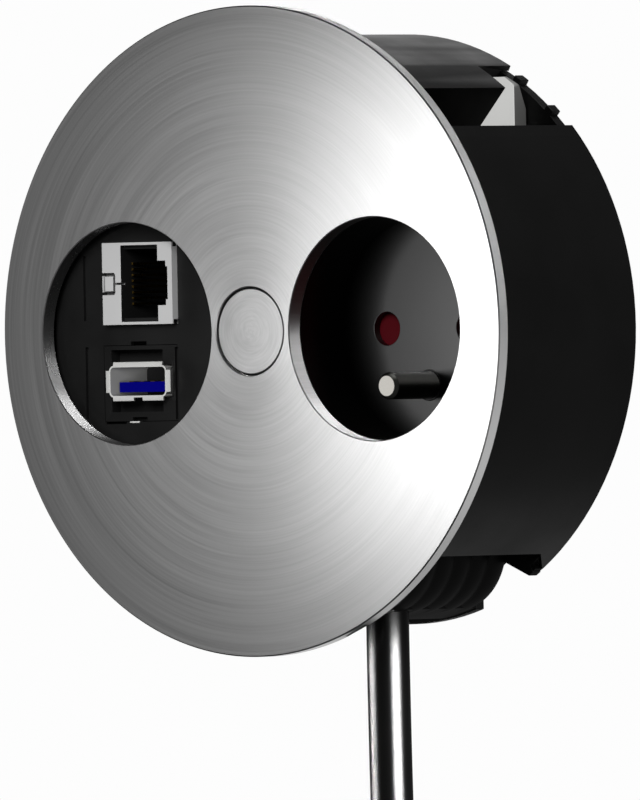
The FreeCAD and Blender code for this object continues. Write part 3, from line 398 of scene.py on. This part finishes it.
def turned_steel(name, grain):
    """Stainless steel brushed in circles: fine grooves round the centre that fan the light out radially."""
    material, tree, shader = finish(name, "b5b5b5", Metallic=1.0, Anisotropic=grain)
    spot = add(tree, "ShaderNodeTexCoord").outputs["Object"]
    flat = add(tree, "ShaderNodeVectorMath", {0: spot, 1: (1.0, 0.0, 1.0)}, operation="MULTIPLY").outputs[0]
    radius = add(tree, "ShaderNodeVectorMath", {0: flat}, operation="LENGTH").outputs["Value"]
    way = add(tree, "ShaderNodeVectorMath", {0: flat}, operation="NORMALIZE").outputs[0]

    def rings(spacing, runs):
        """Noise that changes every spacing across the grooves, and a few times along them."""
        across = add(tree, "ShaderNodeMath", {0: radius, 1: per_metre(spacing)}, operation="MULTIPLY")
        along = add(tree, "ShaderNodeVectorMath", {0: way, "Scale": runs}, operation="SCALE")
        split = add(tree, "ShaderNodeSeparateXYZ", {0: along.outputs[0]})
        joined = add(tree, "ShaderNodeCombineXYZ", {0: split.outputs[0], 1: across.outputs[0],
                                                    2: split.outputs[2]})
        noise = add(tree, "ShaderNodeTexNoise", {"Vector": joined.outputs[0], "Scale": 1.0, "Detail": 2.0})
        return noise.outputs["Fac"]

    # The real grooves are about 0.05 mm apart. They are drawn 0.35 mm apart, the finest that shows.
    fine = rings(groove_spacing, 1.2)
    broad = rings(band_spacing, 0.6)
    both = add(tree, "ShaderNodeMath", {0: fine, 1: broad}, operation="ADD").outputs[0]
    shade_variation(tree, shader, ("a8a8a8", "c2c2c2"), fine, (0.31, 0.35), both, noise_range=(0.7, 1.3))
    bump = add(tree, "ShaderNodeBump", {"Height": fine, "Strength": 1.0, "Distance": groove_relief * MILLI})
    tree.links.new(bump.outputs["Normal"], shader.inputs["Normal"])
    round_way = add(tree, "ShaderNodeVectorMath", {0: flat, 1: (0.0, 1.0, 0.0)}, operation="CROSS_PRODUCT")
    groove = add(tree, "ShaderNodeVectorTransform", {"Vector": round_way.outputs[0]}, vector_type="VECTOR",
                 convert_from="OBJECT", convert_to="WORLD")
    normal = add(tree, "ShaderNodeNewGeometry").outputs["True Normal"]
    fan = add(tree, "ShaderNodeVectorMath", {0: normal, 1: groove.outputs[0]}, operation="CROSS_PRODUCT")
    tree.links.new(fan.outputs[0], shader.inputs["Tangent"])
    return material


# How much the grain of a metal is stretched: a factor under 1 gives lines along that axis.
DRAWN = (1, 0.2, 1)
ROLLED = (1, 0.15, 1)
PLAIN = (1, 1, 1)

FINISHES = {
    # Satin stainless: rings of fine grooves that carry the light from dark at the left to white at right.
    "cover_steel": turned_steel("brushed_stainless_cover", 0.3),
    # The same steel on the button, with its own rings, so that the cap reads as a separate turned part.
    "button_steel": turned_steel("brushed_stainless_button", 0.0),
    # The left collar's wall: polished by its drawing tool, so that its dark and bright parts meet sharply.
    "collar_steel": bare_metal("drawn_stainless_collar", "a8a8a8", "b4b4b4", (0.27, 0.28), DRAWN, 0.3,
                               0.0002),
    # The sheet's bent edge: the same steel painted dark, a painted reflection that draws a hair-thin line
    # between the bright face and the grey rim.
    "cover_edge_painted_dark": bare_metal("stainless_edge_painted_dark", "6a6a6a", "787878", (0.3, 0.36), DRAWN, 0.3, 0.001),
    # The skirt: near black with a satin sheen that shows its roundness at the top and the bottom.
    "black_shell": moulded("black_abs_shell", "030303", "060606", (0.34, 0.44), 0.5, 0.004),
    # Inside the shell: painted shade, the shell's black made blacker and duller, so that the eye finds no
    # detail there, only black round the grey claws.
    "shell_inside_painted_shade": moulded("black_abs_inside_painted_shade", "020202", "030303", (0.6, 0.7), 0.5, 0.004,
                            Specular_IOR_Level=0.05),
    # Small black parts of the mechanism: duller and a little greyer than the shell.
    "black_moulding": moulded("black_nylon", "090909", "101010", (0.4, 0.52), 0.6, 0.006),
    # The plate behind the left hole: an even dark grey in which the port and the jack stand out.
    "black_plate": moulded("black_pc_plate", "070707", "0c0c0c", (0.42, 0.52), 0.5, 0.003),
    # The hollow of the jack and the walls of the port's recess: painted shade, a flat near black for the
    # shade in them, with only a trace of their inner steps.
    "hollow_painted_shade": moulded("black_pbt_hollow_painted_shade", "121212", "181818", (0.5, 0.6), 0.5, 0.003,
                          Specular_IOR_Level=0.25),
    # The well's gloss: a soft grey patch at its right that fades to black at its left. On the earth pin's
    # root this black is painted shade.
    "black_well": moulded("black_pc_well", "020202", "040404", (0.3, 0.33), 0.5, 0.002),
    # The back cover: a plain dull black that sets it off from the glossier skirt.
    "black_back": moulded("black_abs_back", "0b0b0b", "121212", (0.4, 0.5), 0.6, 0.006),
    # The barrel round the lead: the blackest part, with only its ribs faintly lit.
    "black_barrel": moulded("black_nylon_barrel", "040404", "080808", (0.36, 0.46), 0.5, 0.004),
    # The contact carrier: the off-white of heat-proof thermoset.
    "white_moulding": moulded("white_thermoset", "c9c6bc", "d6d3c9", (0.4, 0.55), 0.6, 0.006),
    # The sliding ring: the cooler and smoother white of acetal.
    "bearing_white": moulded("white_acetal", "d4d4cd", "dededa", (0.3, 0.42), 0.6, 0.003),
    # The claws: a light, slightly grainy grey, the one bright thing in the shell's window.
    "claw_grey": moulded("grey_glass_nylon", "bcbcba", "cacac8", (0.35, 0.5), 0.4, 0.006),
    # Screws: the greyish shine of plain zinc.
    "screw_steel": bare_metal("zinc_plated_steel", "9c9c98", "b0b0ad", (0.28, 0.42), DRAWN, 0.3, 0.003),
    # Springs: darker bright-drawn wire.
    "spring_steel": bare_metal("spring_steel", "8c8c8a", "9e9e9c", (0.25, 0.38), PLAIN, 0.3, 0.002),
    # Contacts: the yellow of bare brass strip.
    "contact_brass": bare_metal("rolled_brass", "b08a45", "c29c55", (0.25, 0.4), ROLLED, 0.3, 0.003),
    # The earth pin's end: a bright warm disc in the dark well.
    "pin_nickel": bare_metal("nickel_plated_pin", "c2bfb8", "d0cdc7", (0.2, 0.28), ROLLED, 0.3, 0.002),
    # The earth pin's shaft: the same plated nickel, painted dark grey as a painted reflection of the dark
    # well that it mirrors.
    "pin_shaft_painted_dark": bare_metal("nickel_shaft_painted_reflection", "62625f", "6e6e6a", (0.3, 0.36), ROLLED, 0.3, 0.002),
    # The shutter: a deep red, almost black in the shade of the socket's holes.
    "shutter_red": moulded("red_pc_shutter", "42040c", "4c050e", (0.4, 0.5), 0.6, 0.003,
                           Specular_IOR_Level=0.2),
    # The jack's body: an even light grey, the brightest patch behind the left hole.
    "jack_grey": moulded("grey_pbt_jack", "c4c4c4", "cecece", (0.42, 0.55), 0.5, 0.003),
    # The grooves round the jack's latch: the same grey in shadow, drawn as thin dark lines.
    "jack_shade": moulded("grey_pbt_groove", "707070", "7a7a7a", (0.5, 0.6), 0.5, 0.003),
    # Jack contacts: a faint gold in the dark.
    "gold_wire": bare_metal("gold_flashed_wire", "c9a04c", "d8b15e", (0.2, 0.3), DRAWN, 0.2, 0.001),
    # The port's shell: a pale tinned frame with its tabs.
    "usb_steel": bare_metal("tinned_steel", "d8d8d6", "e2e2e0", (0.4, 0.46), DRAWN, 0.3, 0.002),
    # The shell's inner walls: the tinned steel painted as a dull, darker grey, a painted shade that shows
    # how deep the port is.
    "usb_inside_painted_shade": moulded("tin_inside_painted_shade", "9c9c9a", "a6a6a4", (0.6, 0.7), 0.5, 0.002,
                          Specular_IOR_Level=0.2),
    # The port's end wall: dark grey behind the tongue.
    "port_back": moulded("black_lcp_end_wall", "303030", "383838", (0.6, 0.7), 0.5, 0.002,
                         Specular_IOR_Level=0.2),
    # The tongue: the strong deep blue of the fast port.
    "usb_blue": moulded("blue_lcp_tongue", "010074", "02017c", (0.45, 0.55), 0.5, 0.003,
                        Specular_IOR_Level=0.05),
    # The lead: glossy black, with one narrow and one broad white streak along it.
    "cable_black": moulded("black_pvc_jacket", "010101", "020202", (0.2, 0.22), 1.2, 0.0001,
                           Specular_IOR_Level=0.25),
    # Wires: the usual blue, green and brown, in soft satin vinyl.
    "wire_blue": moulded("blue_pvc_wire", "1c5c9c", "2468aa", (0.35, 0.45), 0.6, 0.003),
    "wire_green": moulded("green_pvc_wire", "3c8c2c", "4a9a38", (0.35, 0.45), 0.6, 0.003),
    "wire_brown": moulded("brown_pvc_wire", "5a3418", "683e20", (0.35, 0.45), 0.6, 0.003),
    # The lead's connector: a dull grained black.
    "connector_black": moulded("black_pa_connector", "0b0b0b", "141414", (0.42, 0.52), 0.5, 0.006),
}

SLOT_OF = {part["node"]: part["material_slot"] for part in frame["record"]["subparts"]}


def coat(piece, slot):
    """Gives a piece the finish of one of the record's slots."""
    piece.data.materials.clear()
    piece.data.materials.append(FINISHES[slot])


def into_mesh(name, shape):
    """A new mesh from a bmesh, which is freed."""
    mesh = bpy.data.meshes.new(name)
    shape.to_mesh(mesh)
    shape.free()
    return mesh


def place(name, shape, body, slot, *nodes):
    """Makes a millimetre bmesh into an object that rides on its body and stands for its nodes."""
    bmesh.ops.scale(shape, vec=(MILLI, MILLI, MILLI), verts=shape.verts)
    made = stand(name, into_mesh(name, shape))
    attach(made, body)
    if nodes:
        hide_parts(*nodes)
    coat(made, slot)
    return made


def smooth_sides(piece, angle=smooth_below):
    """Smooth shading with crisp edges: only edges sharper than the angle stay hard."""
    piece.data.polygons.foreach_set("use_smooth", [True] * len(piece.data.polygons))
    piece.data.set_sharp_from_angle(angle=math.radians(angle))
    weighted = piece.modifiers.new("flat_faces_stay_flat", "WEIGHTED_NORMAL")
    weighted.keep_sharp = True
    return piece


def lathe(outline, steps, x=0.0):
    """A solid turned about an axis along Y from an outline of radius and depth, which ends at the axis or
    closes in itself."""
    shape = bmesh.new()
    points = [shape.verts.new((x + radius, at(depth), 0.0)) for radius, depth in outline]
    lines = [shape.edges.new(pair) for pair in zip(points, points[1:])]
    if outline[0][0] > 0:
        lines.append(shape.edges.new((points[-1], points[0])))
    bmesh.ops.spin(shape, geom=points + lines, cent=(x, 0, 0), axis=(0, 1, 0), angle=math.tau, steps=steps,
                   use_merge=True)
    bmesh.ops.remove_doubles(shape, verts=shape.verts, dist=weld_turned)
    bmesh.ops.recalc_face_normals(shape, faces=shape.faces)
    return shape


def bar(left, right, near, back, low, high, turn=0.0):
    """A block between its sides, two depths and two heights, turned about the cover's axis if asked."""
    shape = bmesh.new()
    middle = Vector(((left + right) / 2, (at(near) + at(back)) / 2, (low + high) / 2))
    size = Vector((right - left, back - near, high - low))
    turned = Matrix.Rotation(math.radians(-turn), 4, "Y")
    placed = turned @ Matrix.Translation(middle) @ Matrix.Diagonal((*size, 1))
    bmesh.ops.create_cube(shape, size=1.0, matrix=placed)
    return shape


def cut(body, cutter, operation="DIFFERENCE"):
    """Cuts one millimetre bmesh with another, or joins them, and gives back the result."""
    blank, tool = [stand("blank", into_mesh("blank", shape)) for shape in (body, cutter)]
    action = blank.modifiers.new("cut", "BOOLEAN")
    action.object = tool
    action.operation = operation
    action.solver = "EXACT"
    result = bpy.data.meshes.new_from_object(blank.evaluated_get(bpy.context.evaluated_depsgraph_get()))
    carved = bmesh.new()
    carved.from_mesh(result)
    for item in (blank, tool):
        mesh = item.data
        bpy.data.objects.remove(item)
        bpy.data.meshes.remove(mesh)
    bpy.data.meshes.remove(result)
    return carved


def carve(shape, cuts):
    """Makes cuts from the plate's front, each given by its left, right, low, high and depth."""
    for left, right, low, high, deep in cuts:
        shape = cut(shape, bar(left, right, plate_depth - cut_ahead, plate_depth + deep, low, high))
    return shape


def merged(shape, other):
    """Two bmeshes in one, with no joining of their solids."""
    mesh = into_mesh("other", other)
    shape.from_mesh(mesh)
    bpy.data.meshes.remove(mesh)
    return shape


def copy_of(node):
    """A merged copy of a CAD node's mesh in millimetres, with its flat faces whole again."""
    shape = bmesh.new()
    shape.from_mesh(frame["nodes"][node].data)
    bmesh.ops.scale(shape, vec=(1 / MILLI,) * 3, verts=shape.verts)
    bmesh.ops.remove_doubles(shape, verts=shape.verts, dist=weld_solid)
    bmesh.ops.dissolve_limit(shape, angle_limit=math.radians(flat_below), verts=shape.verts,
                             edges=shape.edges)
    return shape


def soften(shape, radius):
    """Rounds the sharp outer edges, as the corners of a mould leave them."""
    least = math.radians(soft_above)
    sharp = [edge for edge in shape.edges
             if edge.is_manifold and edge.is_convex and edge.calc_face_angle(0.0) > least]
    bmesh.ops.bevel(shape, geom=sharp, offset=radius, offset_type="OFFSET", affect="EDGES", segments=2,
                    profile=0.5, clamp_overlap=True, material=-1)
    return shape


def refinish(piece, slot, inside):
    """Gives some faces the finish of another slot: those whose centre, in millimetres, is inside."""
    piece.data.materials.append(FINISHES[slot])
    for face in piece.data.polygons:
        if inside(*[value / MILLI for value in face.center]):
            face.material_index = len(piece.data.materials) - 1


def make_cover():
    """The steel cover: one sheet with a turned-down rim, a pry notch and three round holes."""
    inner_r = cover_r - rim_wall
    mouth_r = hole_r + edge_break
    cover = lathe([(0.0, 0.0), (cover_r - rim_chamfer, 0.0), (cover_r, rim_chamfer), (cover_r, rim_depth),
                   (inner_r, rim_depth), (inner_r, sheet), (0.0, sheet)], steps=cover_steps)
    for x in (-hole_x, hole_x):
        cover = cut(cover, lathe([(0.0, -cut_past), (mouth_r, -cut_past), (mouth_r, sheet + cut_past),
                                  (0.0, sheet + cut_past)], steps=hole_steps, x=x))
    cover = cut(cover, lathe([(0.0, -cut_past), (button_hole_r + edge_break + cut_past, -cut_past),
                              (button_hole_r, edge_break), (button_hole_r, sheet + cut_past),
                              (0.0, sheet + cut_past)], steps=button_steps))
    notch = bar(inner_r - cut_past, cover_r + cut_past, rim_depth - pry_deep, rim_depth + cut_past,
                -pry_wide / 2, pry_wide / 2, turn=pry_angle)
    cover = cut(cover, notch)
    piece = smooth_sides(place("steel_cover", cover, "cover", "cover_steel", "cover_plate"))
    # The chamfer of the rim is painted dark: a painted reflection that draws a dark line along the edge.
    refinish(piece, "cover_edge_painted_dark", lambda x, y, z: (
        math.hypot(x, z) > cover_r - rim_chamfer and y < at(rim_chamfer)))


def make_notch_insert():
    """The black lug that fills the pry notch in the cover's rim, just short of the rim's outside."""
    lug = bar(cover_r - rim_wall, cover_r - 2 * insert_gap, rim_depth - pry_deep + insert_gap, rim_depth,
              insert_gap - pry_wide / 2, pry_wide / 2 - insert_gap, turn=pry_angle)
    smooth_sides(place("notch_insert", lug, "cover", "black_moulding"))


def make_collars():
    """The drawn collars of the cover's two holes, as pieces of their own, which lamps can tell apart."""
    mouth_r = hole_r + edge_break
    outer_r = hole_r + collar_wall
    for side, x, inner_slot in (("left", -hole_x, "collar_steel"), ("right", hole_x, "cover_steel")):
        collar = lathe([(hole_r, edge_break), (mouth_r, 0.0), (mouth_r, sheet), (outer_r, sheet),
                        (outer_r, collar_depth), (hole_r, collar_depth)], steps=hole_steps, x=x)
        piece = smooth_sides(place(f"{side}_collar", collar, "cover", "cover_steel"))
        refinish(piece, inner_slot, lambda x, y, z: y > at(edge_break))


def make_button():
    """The flat steel cap of the centre button, with its edge broken."""
    cap = lathe([(0.0, button_front), (button_r - edge_break, button_front),
                 (button_r, button_front + edge_break), (button_r, button_back), (0.0, button_back)],
                steps=button_steps)
    smooth_sides(place("steel_button", cap, "button", "button_steel", "button_cap"), button_smooth_below)


def make_front_plate():
    """The black plate behind the cover, with the fine parting grooves and notches of its modules."""
    plate = carve(copy_of("front_plate"), plate_cuts)
    smooth_sides(place("black_front_plate", plate, "root", "black_plate", "front_plate"))


def make_softened():
    """The moulded and turned parts whose CAD shape is right, with their edges rounded."""
    for node, name, radius in (("housing", "shell_housing", 0.25),
                               ("back_cover", "rear_cover", 0.25),
                               ("cable_barrel", "lead_barrel", 0.08),
                               ("socket_insert", "socket_well", 0.12),
                               ("earth_pin", "turned_earth_pin", 0.06),
                               ("connector_body", "lead_connector", 0.4),
                               ("socket_back", "socket_carrier", 0.2),
                               ("safety_shutter", "red_shutter", 0.15)):
        body = frame["nodes"][node]["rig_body"]
        shape = soften(copy_of(node), radius)
        if node == "back_cover":
            shape = merged(shape, bar(*tail_filler, turn=tail_angle))
        piece = smooth_sides(place(name, shape, body, SLOT_OF[node], node))
        if node == "housing":
            # The shell's inside is painted with shade: a blacker, duller black than the skirt's.
            refinish(piece, "shell_inside_painted_shade", lambda x, y, z: math.hypot(x, z) < shell_inside_r)
        if node == "earth_pin":
            # The pin's shaft is painted dark grey: a painted reflection of the dark well.
            refinish(piece, "pin_shaft_painted_dark", lambda x, y, z: y > at(pin_bright_depth))
            # The pin's root, where it meets the well's floor, is painted in the well's black: painted shade
            # that hides its bright edge.
            refinish(piece, "black_well", lambda x, y, z: y > at(pin_seen_depth))
    for number in (1, 2, 3):
        node = f"clamp_claw_{number}"
        claw = soften(copy_of(node), claw_edge_r)
        smooth_sides(place(f"grey_claw_{number}", claw, f"clamp_{number}", "claw_grey", node))


def make_jack():
    """The grey network jack, with the grooves of its latch and the steps of its flank, and with painted
    shade: black in its hollow and a darker grey in its grooves.
    """
    jack = copy_of("jack_body")
    left = jack_x - jack_wide / 2
    right = left + jack_wide
    hook = left + latch_end
    ahead = jack_front - cut_past
    for low in (jack_z + latch_low, jack_z + latch_high):
        jack = cut(jack, bar(left - cut_past, hook, ahead, jack_front + latch_deep,
                             low, low + latch_groove))
    jack = cut(jack, bar(hook - latch_cross_wide, hook, ahead, jack_front + latch_cross_deep,
                         jack_z - latch_cross_half, jack_z + latch_cross_half))
    jack = cut(jack, bar(hook - latch_slit_overlap, hook + latch_slit_long, ahead, jack_front + latch_deep,
                         jack_z - latch_slit_half, jack_z + latch_slit_half))
    for low in (jack_z - jack_half_tall - cut_past, jack_z + jack_half_tall - jack_step):
        jack = cut(jack, bar(right - cut_past, right + cut_past, jack_front + jack_step_back,
                             plate_depth + cut_past, low, low + cut_past + jack_step))
    piece = smooth_sides(place("network_jack", soften(jack, fine_edge_r), "root", "jack_grey", "jack_body"))
    # Painted shade: the jack's hollow is painted black, and the grooves of its latch a darker grey.
    refinish(piece, "hollow_painted_shade", lambda x, y, z: (
        y > at(jack_front) + near_face
        and left + mouth_start < x < left + mouth_end
        and abs(z - jack_z) < mouth_half_tall))
    refinish(piece, "jack_shade", lambda x, y, z: (
        y > at(jack_front) + 2 * near_face
        and left + latch_start < x < left + mouth_start - near_face
        and abs(z - jack_z) < latch_half_tall))


def make_usb_module():
    """The black insert of the USB port, with its release notch, its tab slot and the steel tab in it."""
    module = carve(cut(copy_of("usb_insert"), bar(*recess_fill), "UNION"), module_cuts)
    module = soften(module, fine_edge_r)
    piece = smooth_sides(place("usb_module", module, "root", "black_plate", "usb_insert"))
    # The walls of the recess round the port are painted with the hollows' shade.
    refinish(piece, "hollow_painted_shade", lambda x, y, z: (
        at(plate_depth) + recess_wall_start < y < at(plate_depth) + recess_wall_end
        and abs(z - usb_z) < recess_wall_half))
    tab = soften(bar(*steel_tab), tab_edge_r)
    smooth_sides(place("usb_steel_tab", tab, "root", "usb_steel"))


def make_usb_shell():
    """The USB port's steel shell: a drawn tube with round corners, whose mouth has flared tabs."""
    half_wide = usb_wide / 2 + usb_sheet
    half_tall = usb_tall / 2 + usb_sheet
    shell = bmesh.new()
    corners = [shell.verts.new((usb_x + x, at(usb_front) + usb_deep, usb_z + z)) for x, z in (
        (-half_wide, -half_tall), (half_wide, -half_tall), (half_wide, half_tall), (-half_wide, half_tall))]
    shell.faces.new(corners)
    bmesh.ops.bevel(shell, geom=shell.verts[:], offset=usb_corner, offset_type="OFFSET", affect="VERTICES",
                    segments=5, profile=0.5, material=-1)
    mouth = shell.faces[:]
    bmesh.ops.inset_region(shell, faces=mouth, thickness=usb_sheet, use_boundary=True, use_even_offset=True)
    bmesh.ops.delete(shell, geom=mouth, context="FACES")
    drawn = bmesh.ops.extrude_face_region(shell, geom=shell.faces[:] + shell.edges[:], use_keep_orig=True)
    front = [item for item in drawn["geom"] if isinstance(item, bmesh.types.BMVert)]
    bmesh.ops.translate(shell, verts=front, vec=(0, -usb_deep, 0))
    bmesh.ops.recalc_face_normals(shell, faces=shell.faces)
    # Each tab by the place of its middle in the mouth, its width and its height
    for x, z, wide, tall in ((0.0, half_tall + 0.25, 11.5, 0.8), (-3.45, -half_tall - 0.25, 4.92, 0.8),
                             (3.45, -half_tall - 0.25, 4.92, 0.8), (-half_wide - 0.35, 0.0, 1.0, 3.95),
                             (half_wide + 0.35, 0.0, 1.0, 3.95)):
        tab = bar(usb_x + x - wide / 2, usb_x + x + wide / 2, usb_front - lip_ahead, usb_front + lip_back,
                  usb_z + z - tall / 2, usb_z + z + tall / 2)
        if abs(x) > half_wide:
            outer = [vert for vert in tab.verts if abs(vert.co.x - usb_x) > abs(x)]
        else:
            outer = [vert for vert in tab.verts if abs(vert.co.z - usb_z) > abs(z)]
        bmesh.ops.translate(tab, verts=outer, vec=(0, lip_flare, 0))
        shell = merged(shell, soften(tab, lip_edge_r))
    end_wall = usb_front + usb_deep
    shell = merged(shell, bar(usb_x - half_wide, usb_x + half_wide, end_wall, end_wall + usb_sheet,
                              usb_z - half_tall, usb_z + half_tall))
    piece = smooth_sides(place("usb_steel_lips", shell, "root", "usb_steel", "usb_shell"))
    refinish(piece, "port_back", lambda x, y, z: abs(y - at(end_wall)) < near_face)
    # The port's inner walls are painted a dull darker grey: painted shade.
    refinish(piece, "usb_inside_painted_shade", lambda x, y, z: (
        at(usb_front) + port_lip_deep < y < at(end_wall) - 2 * near_face
        and abs(x - usb_x) < usb_wide / 2 + near_face
        and abs(z - usb_z) < usb_tall / 2 + near_face))


def make_floor():
    """The plain pale floor on which the free end of the lead stands."""
    ground = bmesh.new()
    bmesh.ops.create_grid(ground, x_segments=1, y_segments=1, size=floor_half)
    low = min(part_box(node)[0].z for node in frame["nodes"])
    bmesh.ops.translate(ground, verts=ground.verts, vec=(0, 0, low))
    floor = stand("pale_floor", into_mesh("pale_floor", ground))
    floor.data.materials.append(finish("pale_floor_paint", "f4f4f4", Roughness=0.9)[0])
    floor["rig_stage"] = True
    floor.visible_glossy = False
    floor.visible_diffuse = False
    floor.visible_shadow = False


def make_background():
    """A white background for the camera, and a dim grey one for the object."""
    world = bpy.data.worlds.new("studio")
    bpy.context.scene.world = world
    world.use_nodes = True
    tree = world.node_tree
    tree.nodes.clear()
    path = add(tree, "ShaderNodeLightPath")
    seen = add(tree, "ShaderNodeBackground", {"Color": (1, 1, 1, 1), "Strength": background_white})
    dim = add(tree, "ShaderNodeBackground", {"Color": (1, 1, 1, 1), "Strength": studio_dim})
    mix = add(tree, "ShaderNodeMixShader", {0: path.outputs["Is Camera Ray"], 1: dim.outputs[0],
                                            2: seen.outputs[0]})
    add(tree, "ShaderNodeOutputWorld", {"Surface": mix.outputs[0]})
    bpy.context.scene.view_settings.view_transform = "Standard"


def soft_light(name, place_at, wide, tall, brightness, only, aim=(0.0, 0.0, 0.0), shaded_by=None,
               spread=180.0):
    """A soft box that looks at a point, out of the camera's sight. It lights only some pieces, and may be
    shaded by only some."""
    data = bpy.data.lights.new(name, "AREA")
    data.shape = "RECTANGLE"
    data.size = wide * MILLI
    data.size_y = tall * MILLI
    data.spread = math.radians(spread)
    data.energy = brightness * math.pi * data.size * data.size_y
    lamp = stand(name, data)
    lamp.location = Vector(place_at) * MILLI
    lamp.rotation_mode = "QUATERNION"
    lamp.rotation_quaternion = (Vector(place_at) - Vector(aim)).to_track_quat("Z", "Y")
    lamp.visible_camera = False
    # A lamp that shines through other pieces is sampled as a lamp only, or its mirror image is shaded.
    data.cycles.use_multiple_importance_sampling = not shaded_by
    for role, pieces in (("receiver_collection", only), ("blocker_collection", shaded_by)):
        if pieces:
            group = bpy.data.collections.new(f"{name}_{role}")
            for piece in pieces:
                group.objects.link(piece)
            setattr(lamp.light_linking, role, group)


def make_lights():
    """Soft boxes, each for the pieces that it lights or that mirror it."""
    shown = {piece.name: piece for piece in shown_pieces()}
    cover = shown["steel_cover"]
    button = shown["steel_button"]
    well = shown["socket_well"]
    left_collar = shown["left_collar"]
    right_collar = shown["right_collar"]
    housing = shown["shell_housing"]
    barrel = shown["lead_barrel"]
    lips = shown["usb_steel_lips"]
    pin = shown["turned_earth_pin"]
    shell = [housing, shown["rear_cover"]]
    claws = [shown[f"grey_claw_{number}"] for number in (1, 2, 3)]
    in_the_dark = [shown[name] for name in ("jack_contacts", "usb_contacts", "notch_insert")]
    turned = [cover, left_collar, right_collar, button]
    # The front key lights the rest: the pieces that neither have lamps of their own nor stay in the dark.
    left_out = [*turned, well, lead, barrel, pin, lips, *shell, *claws, *in_the_dark]
    rest = [piece for piece in shown.values() if piece not in left_out]
    # The overhead lamp lights the others, and neither the cover nor what would lose its black by it.
    not_from_above = [cover, left_collar, right_collar, lead, barrel, *in_the_dark]
    others = [piece for piece in shown.values() if piece not in not_from_above]
    # A lamp that only the button shades shines through all the other pieces.
    through = [button]

    # The cover mirrors what stands at azimuth -40. A near card there covers the mirror rays of its right
    # half, so that the steel runs from dark at the left to white at the right, as in the photograph. The
    # well's floor mirrors a smaller card of its own.
    mirrored = facing(-photo_azimuth)
    for name, sideways, high, wide, tall, brightness, lit in (
            ("cover_card", 57, 3, 70, 96, 5.3, turned),
            ("cover_card_far", 177, 3, 170, 96, 1.2, turned),
            ("well_card", 77, -2, 100, 36, 12.0, [well])):
        card = mirrored * cover_card_away + rightward(mirrored) * sideways + Vector((0, 0, high))
        soft_light(name, card, wide, tall, brightness, lit, aim=card - mirrored)
    soft_light("steel_card", mirrored * 420, 420, 420, 0.9, [pin, lips, shown["usb_steel_tab"]])

    # The rim mirrors what stands behind the object, and the collars what stands behind it and above. Both
    # collars turn white at their lower end, and the left one is darker above it.
    for name, x, behind, z, wide, tall, brightness, lit, shade in (
            ("rim_low", 0, 270, -150, 640, 290, 1.0, [cover], None),
            ("rim_high", 0, 270, 150, 640, 290, 1.1, [cover, right_collar], through),
            ("collars_high", -50, 270, 260, 270, 100, 2.6, [left_collar, right_collar], through),
            ("collar_left", 60, 270, 145, 400, 130, 0.5, [left_collar], through)):
        soft_light(name, (x, behind, z), wide, tall, brightness, lit, aim=(x, 0, z), shaded_by=shade)

    # The lead mirrors two cards, whose tops end below the barrel and whose light fades towards their sides.
    lead_middle = Vector((lead_route[0][0], lead_route[0][1], lead_cards_z))
    for name, azimuth, wide, brightness in (("lead_left", -60, 40, 2.5), ("lead_right", 80, 46, 11.0)):
        soft_light(name, lead_middle + facing(azimuth) * lead_card_away, wide, lead_cards_tall, brightness,
                   [lead], aim=lead_middle, shaded_by=through, spread=lead_cards_spread)

    soft_light("pin_back", (30, 250, 130), 400, 180, 0.3, [pin], aim=(30, 0, 130), shaded_by=through)
    soft_light("edge_card", facing(55, -15) * 400, 300, 300, 1.0, [cover])
    soft_light("front_key", facing(20, 25) * keys_away, 400, 400, 12.0, rest)
    soft_light("port_key", facing(40) * keys_away, 400, 400, 8.0, [lips])
    soft_light("claw_key", facing(0, 10) * keys_away, 400, 400, 14.0, claws, shaded_by=through)
    soft_light("upper_back", facing(-147, 5) * 600, 300, 600, 0.65, shell)
    soft_light("lower_back", (-64, 220, -176), 300, 150, 0.2, [housing])

    # These show the black sides and the back from elsewhere. The photograph's view mirrors none of them.
    for name, place_at, wide, tall in (("side_right", (700, -60, 0), 400, 600),
                                       ("side_left", (-700, 0, 0), 500, 600),
                                       ("back_card", (-150, 700, 0), 600, 480)):
        soft_light(name, place_at, wide, tall, 1.2, [*rest, *shell])
    soft_light("overhead", (200, -100, 1300), 1100, 1100, 1.2, others)
    soft_light("floor_light", (0, 0, 1500), 3000, 3000, 2.1, [bpy.data.objects["pale_floor"]])


make_cover()
make_notch_insert()
make_collars()
make_button()
make_front_plate()
make_softened()
make_jack()
make_usb_module()
make_usb_shell()

for node, carried in frame["nodes"].items():
    if not carried.hide_render:
        coat(carried, SLOT_OF[node])
coat(lead, "cable_black")

make_floor()
make_background()
make_lights()
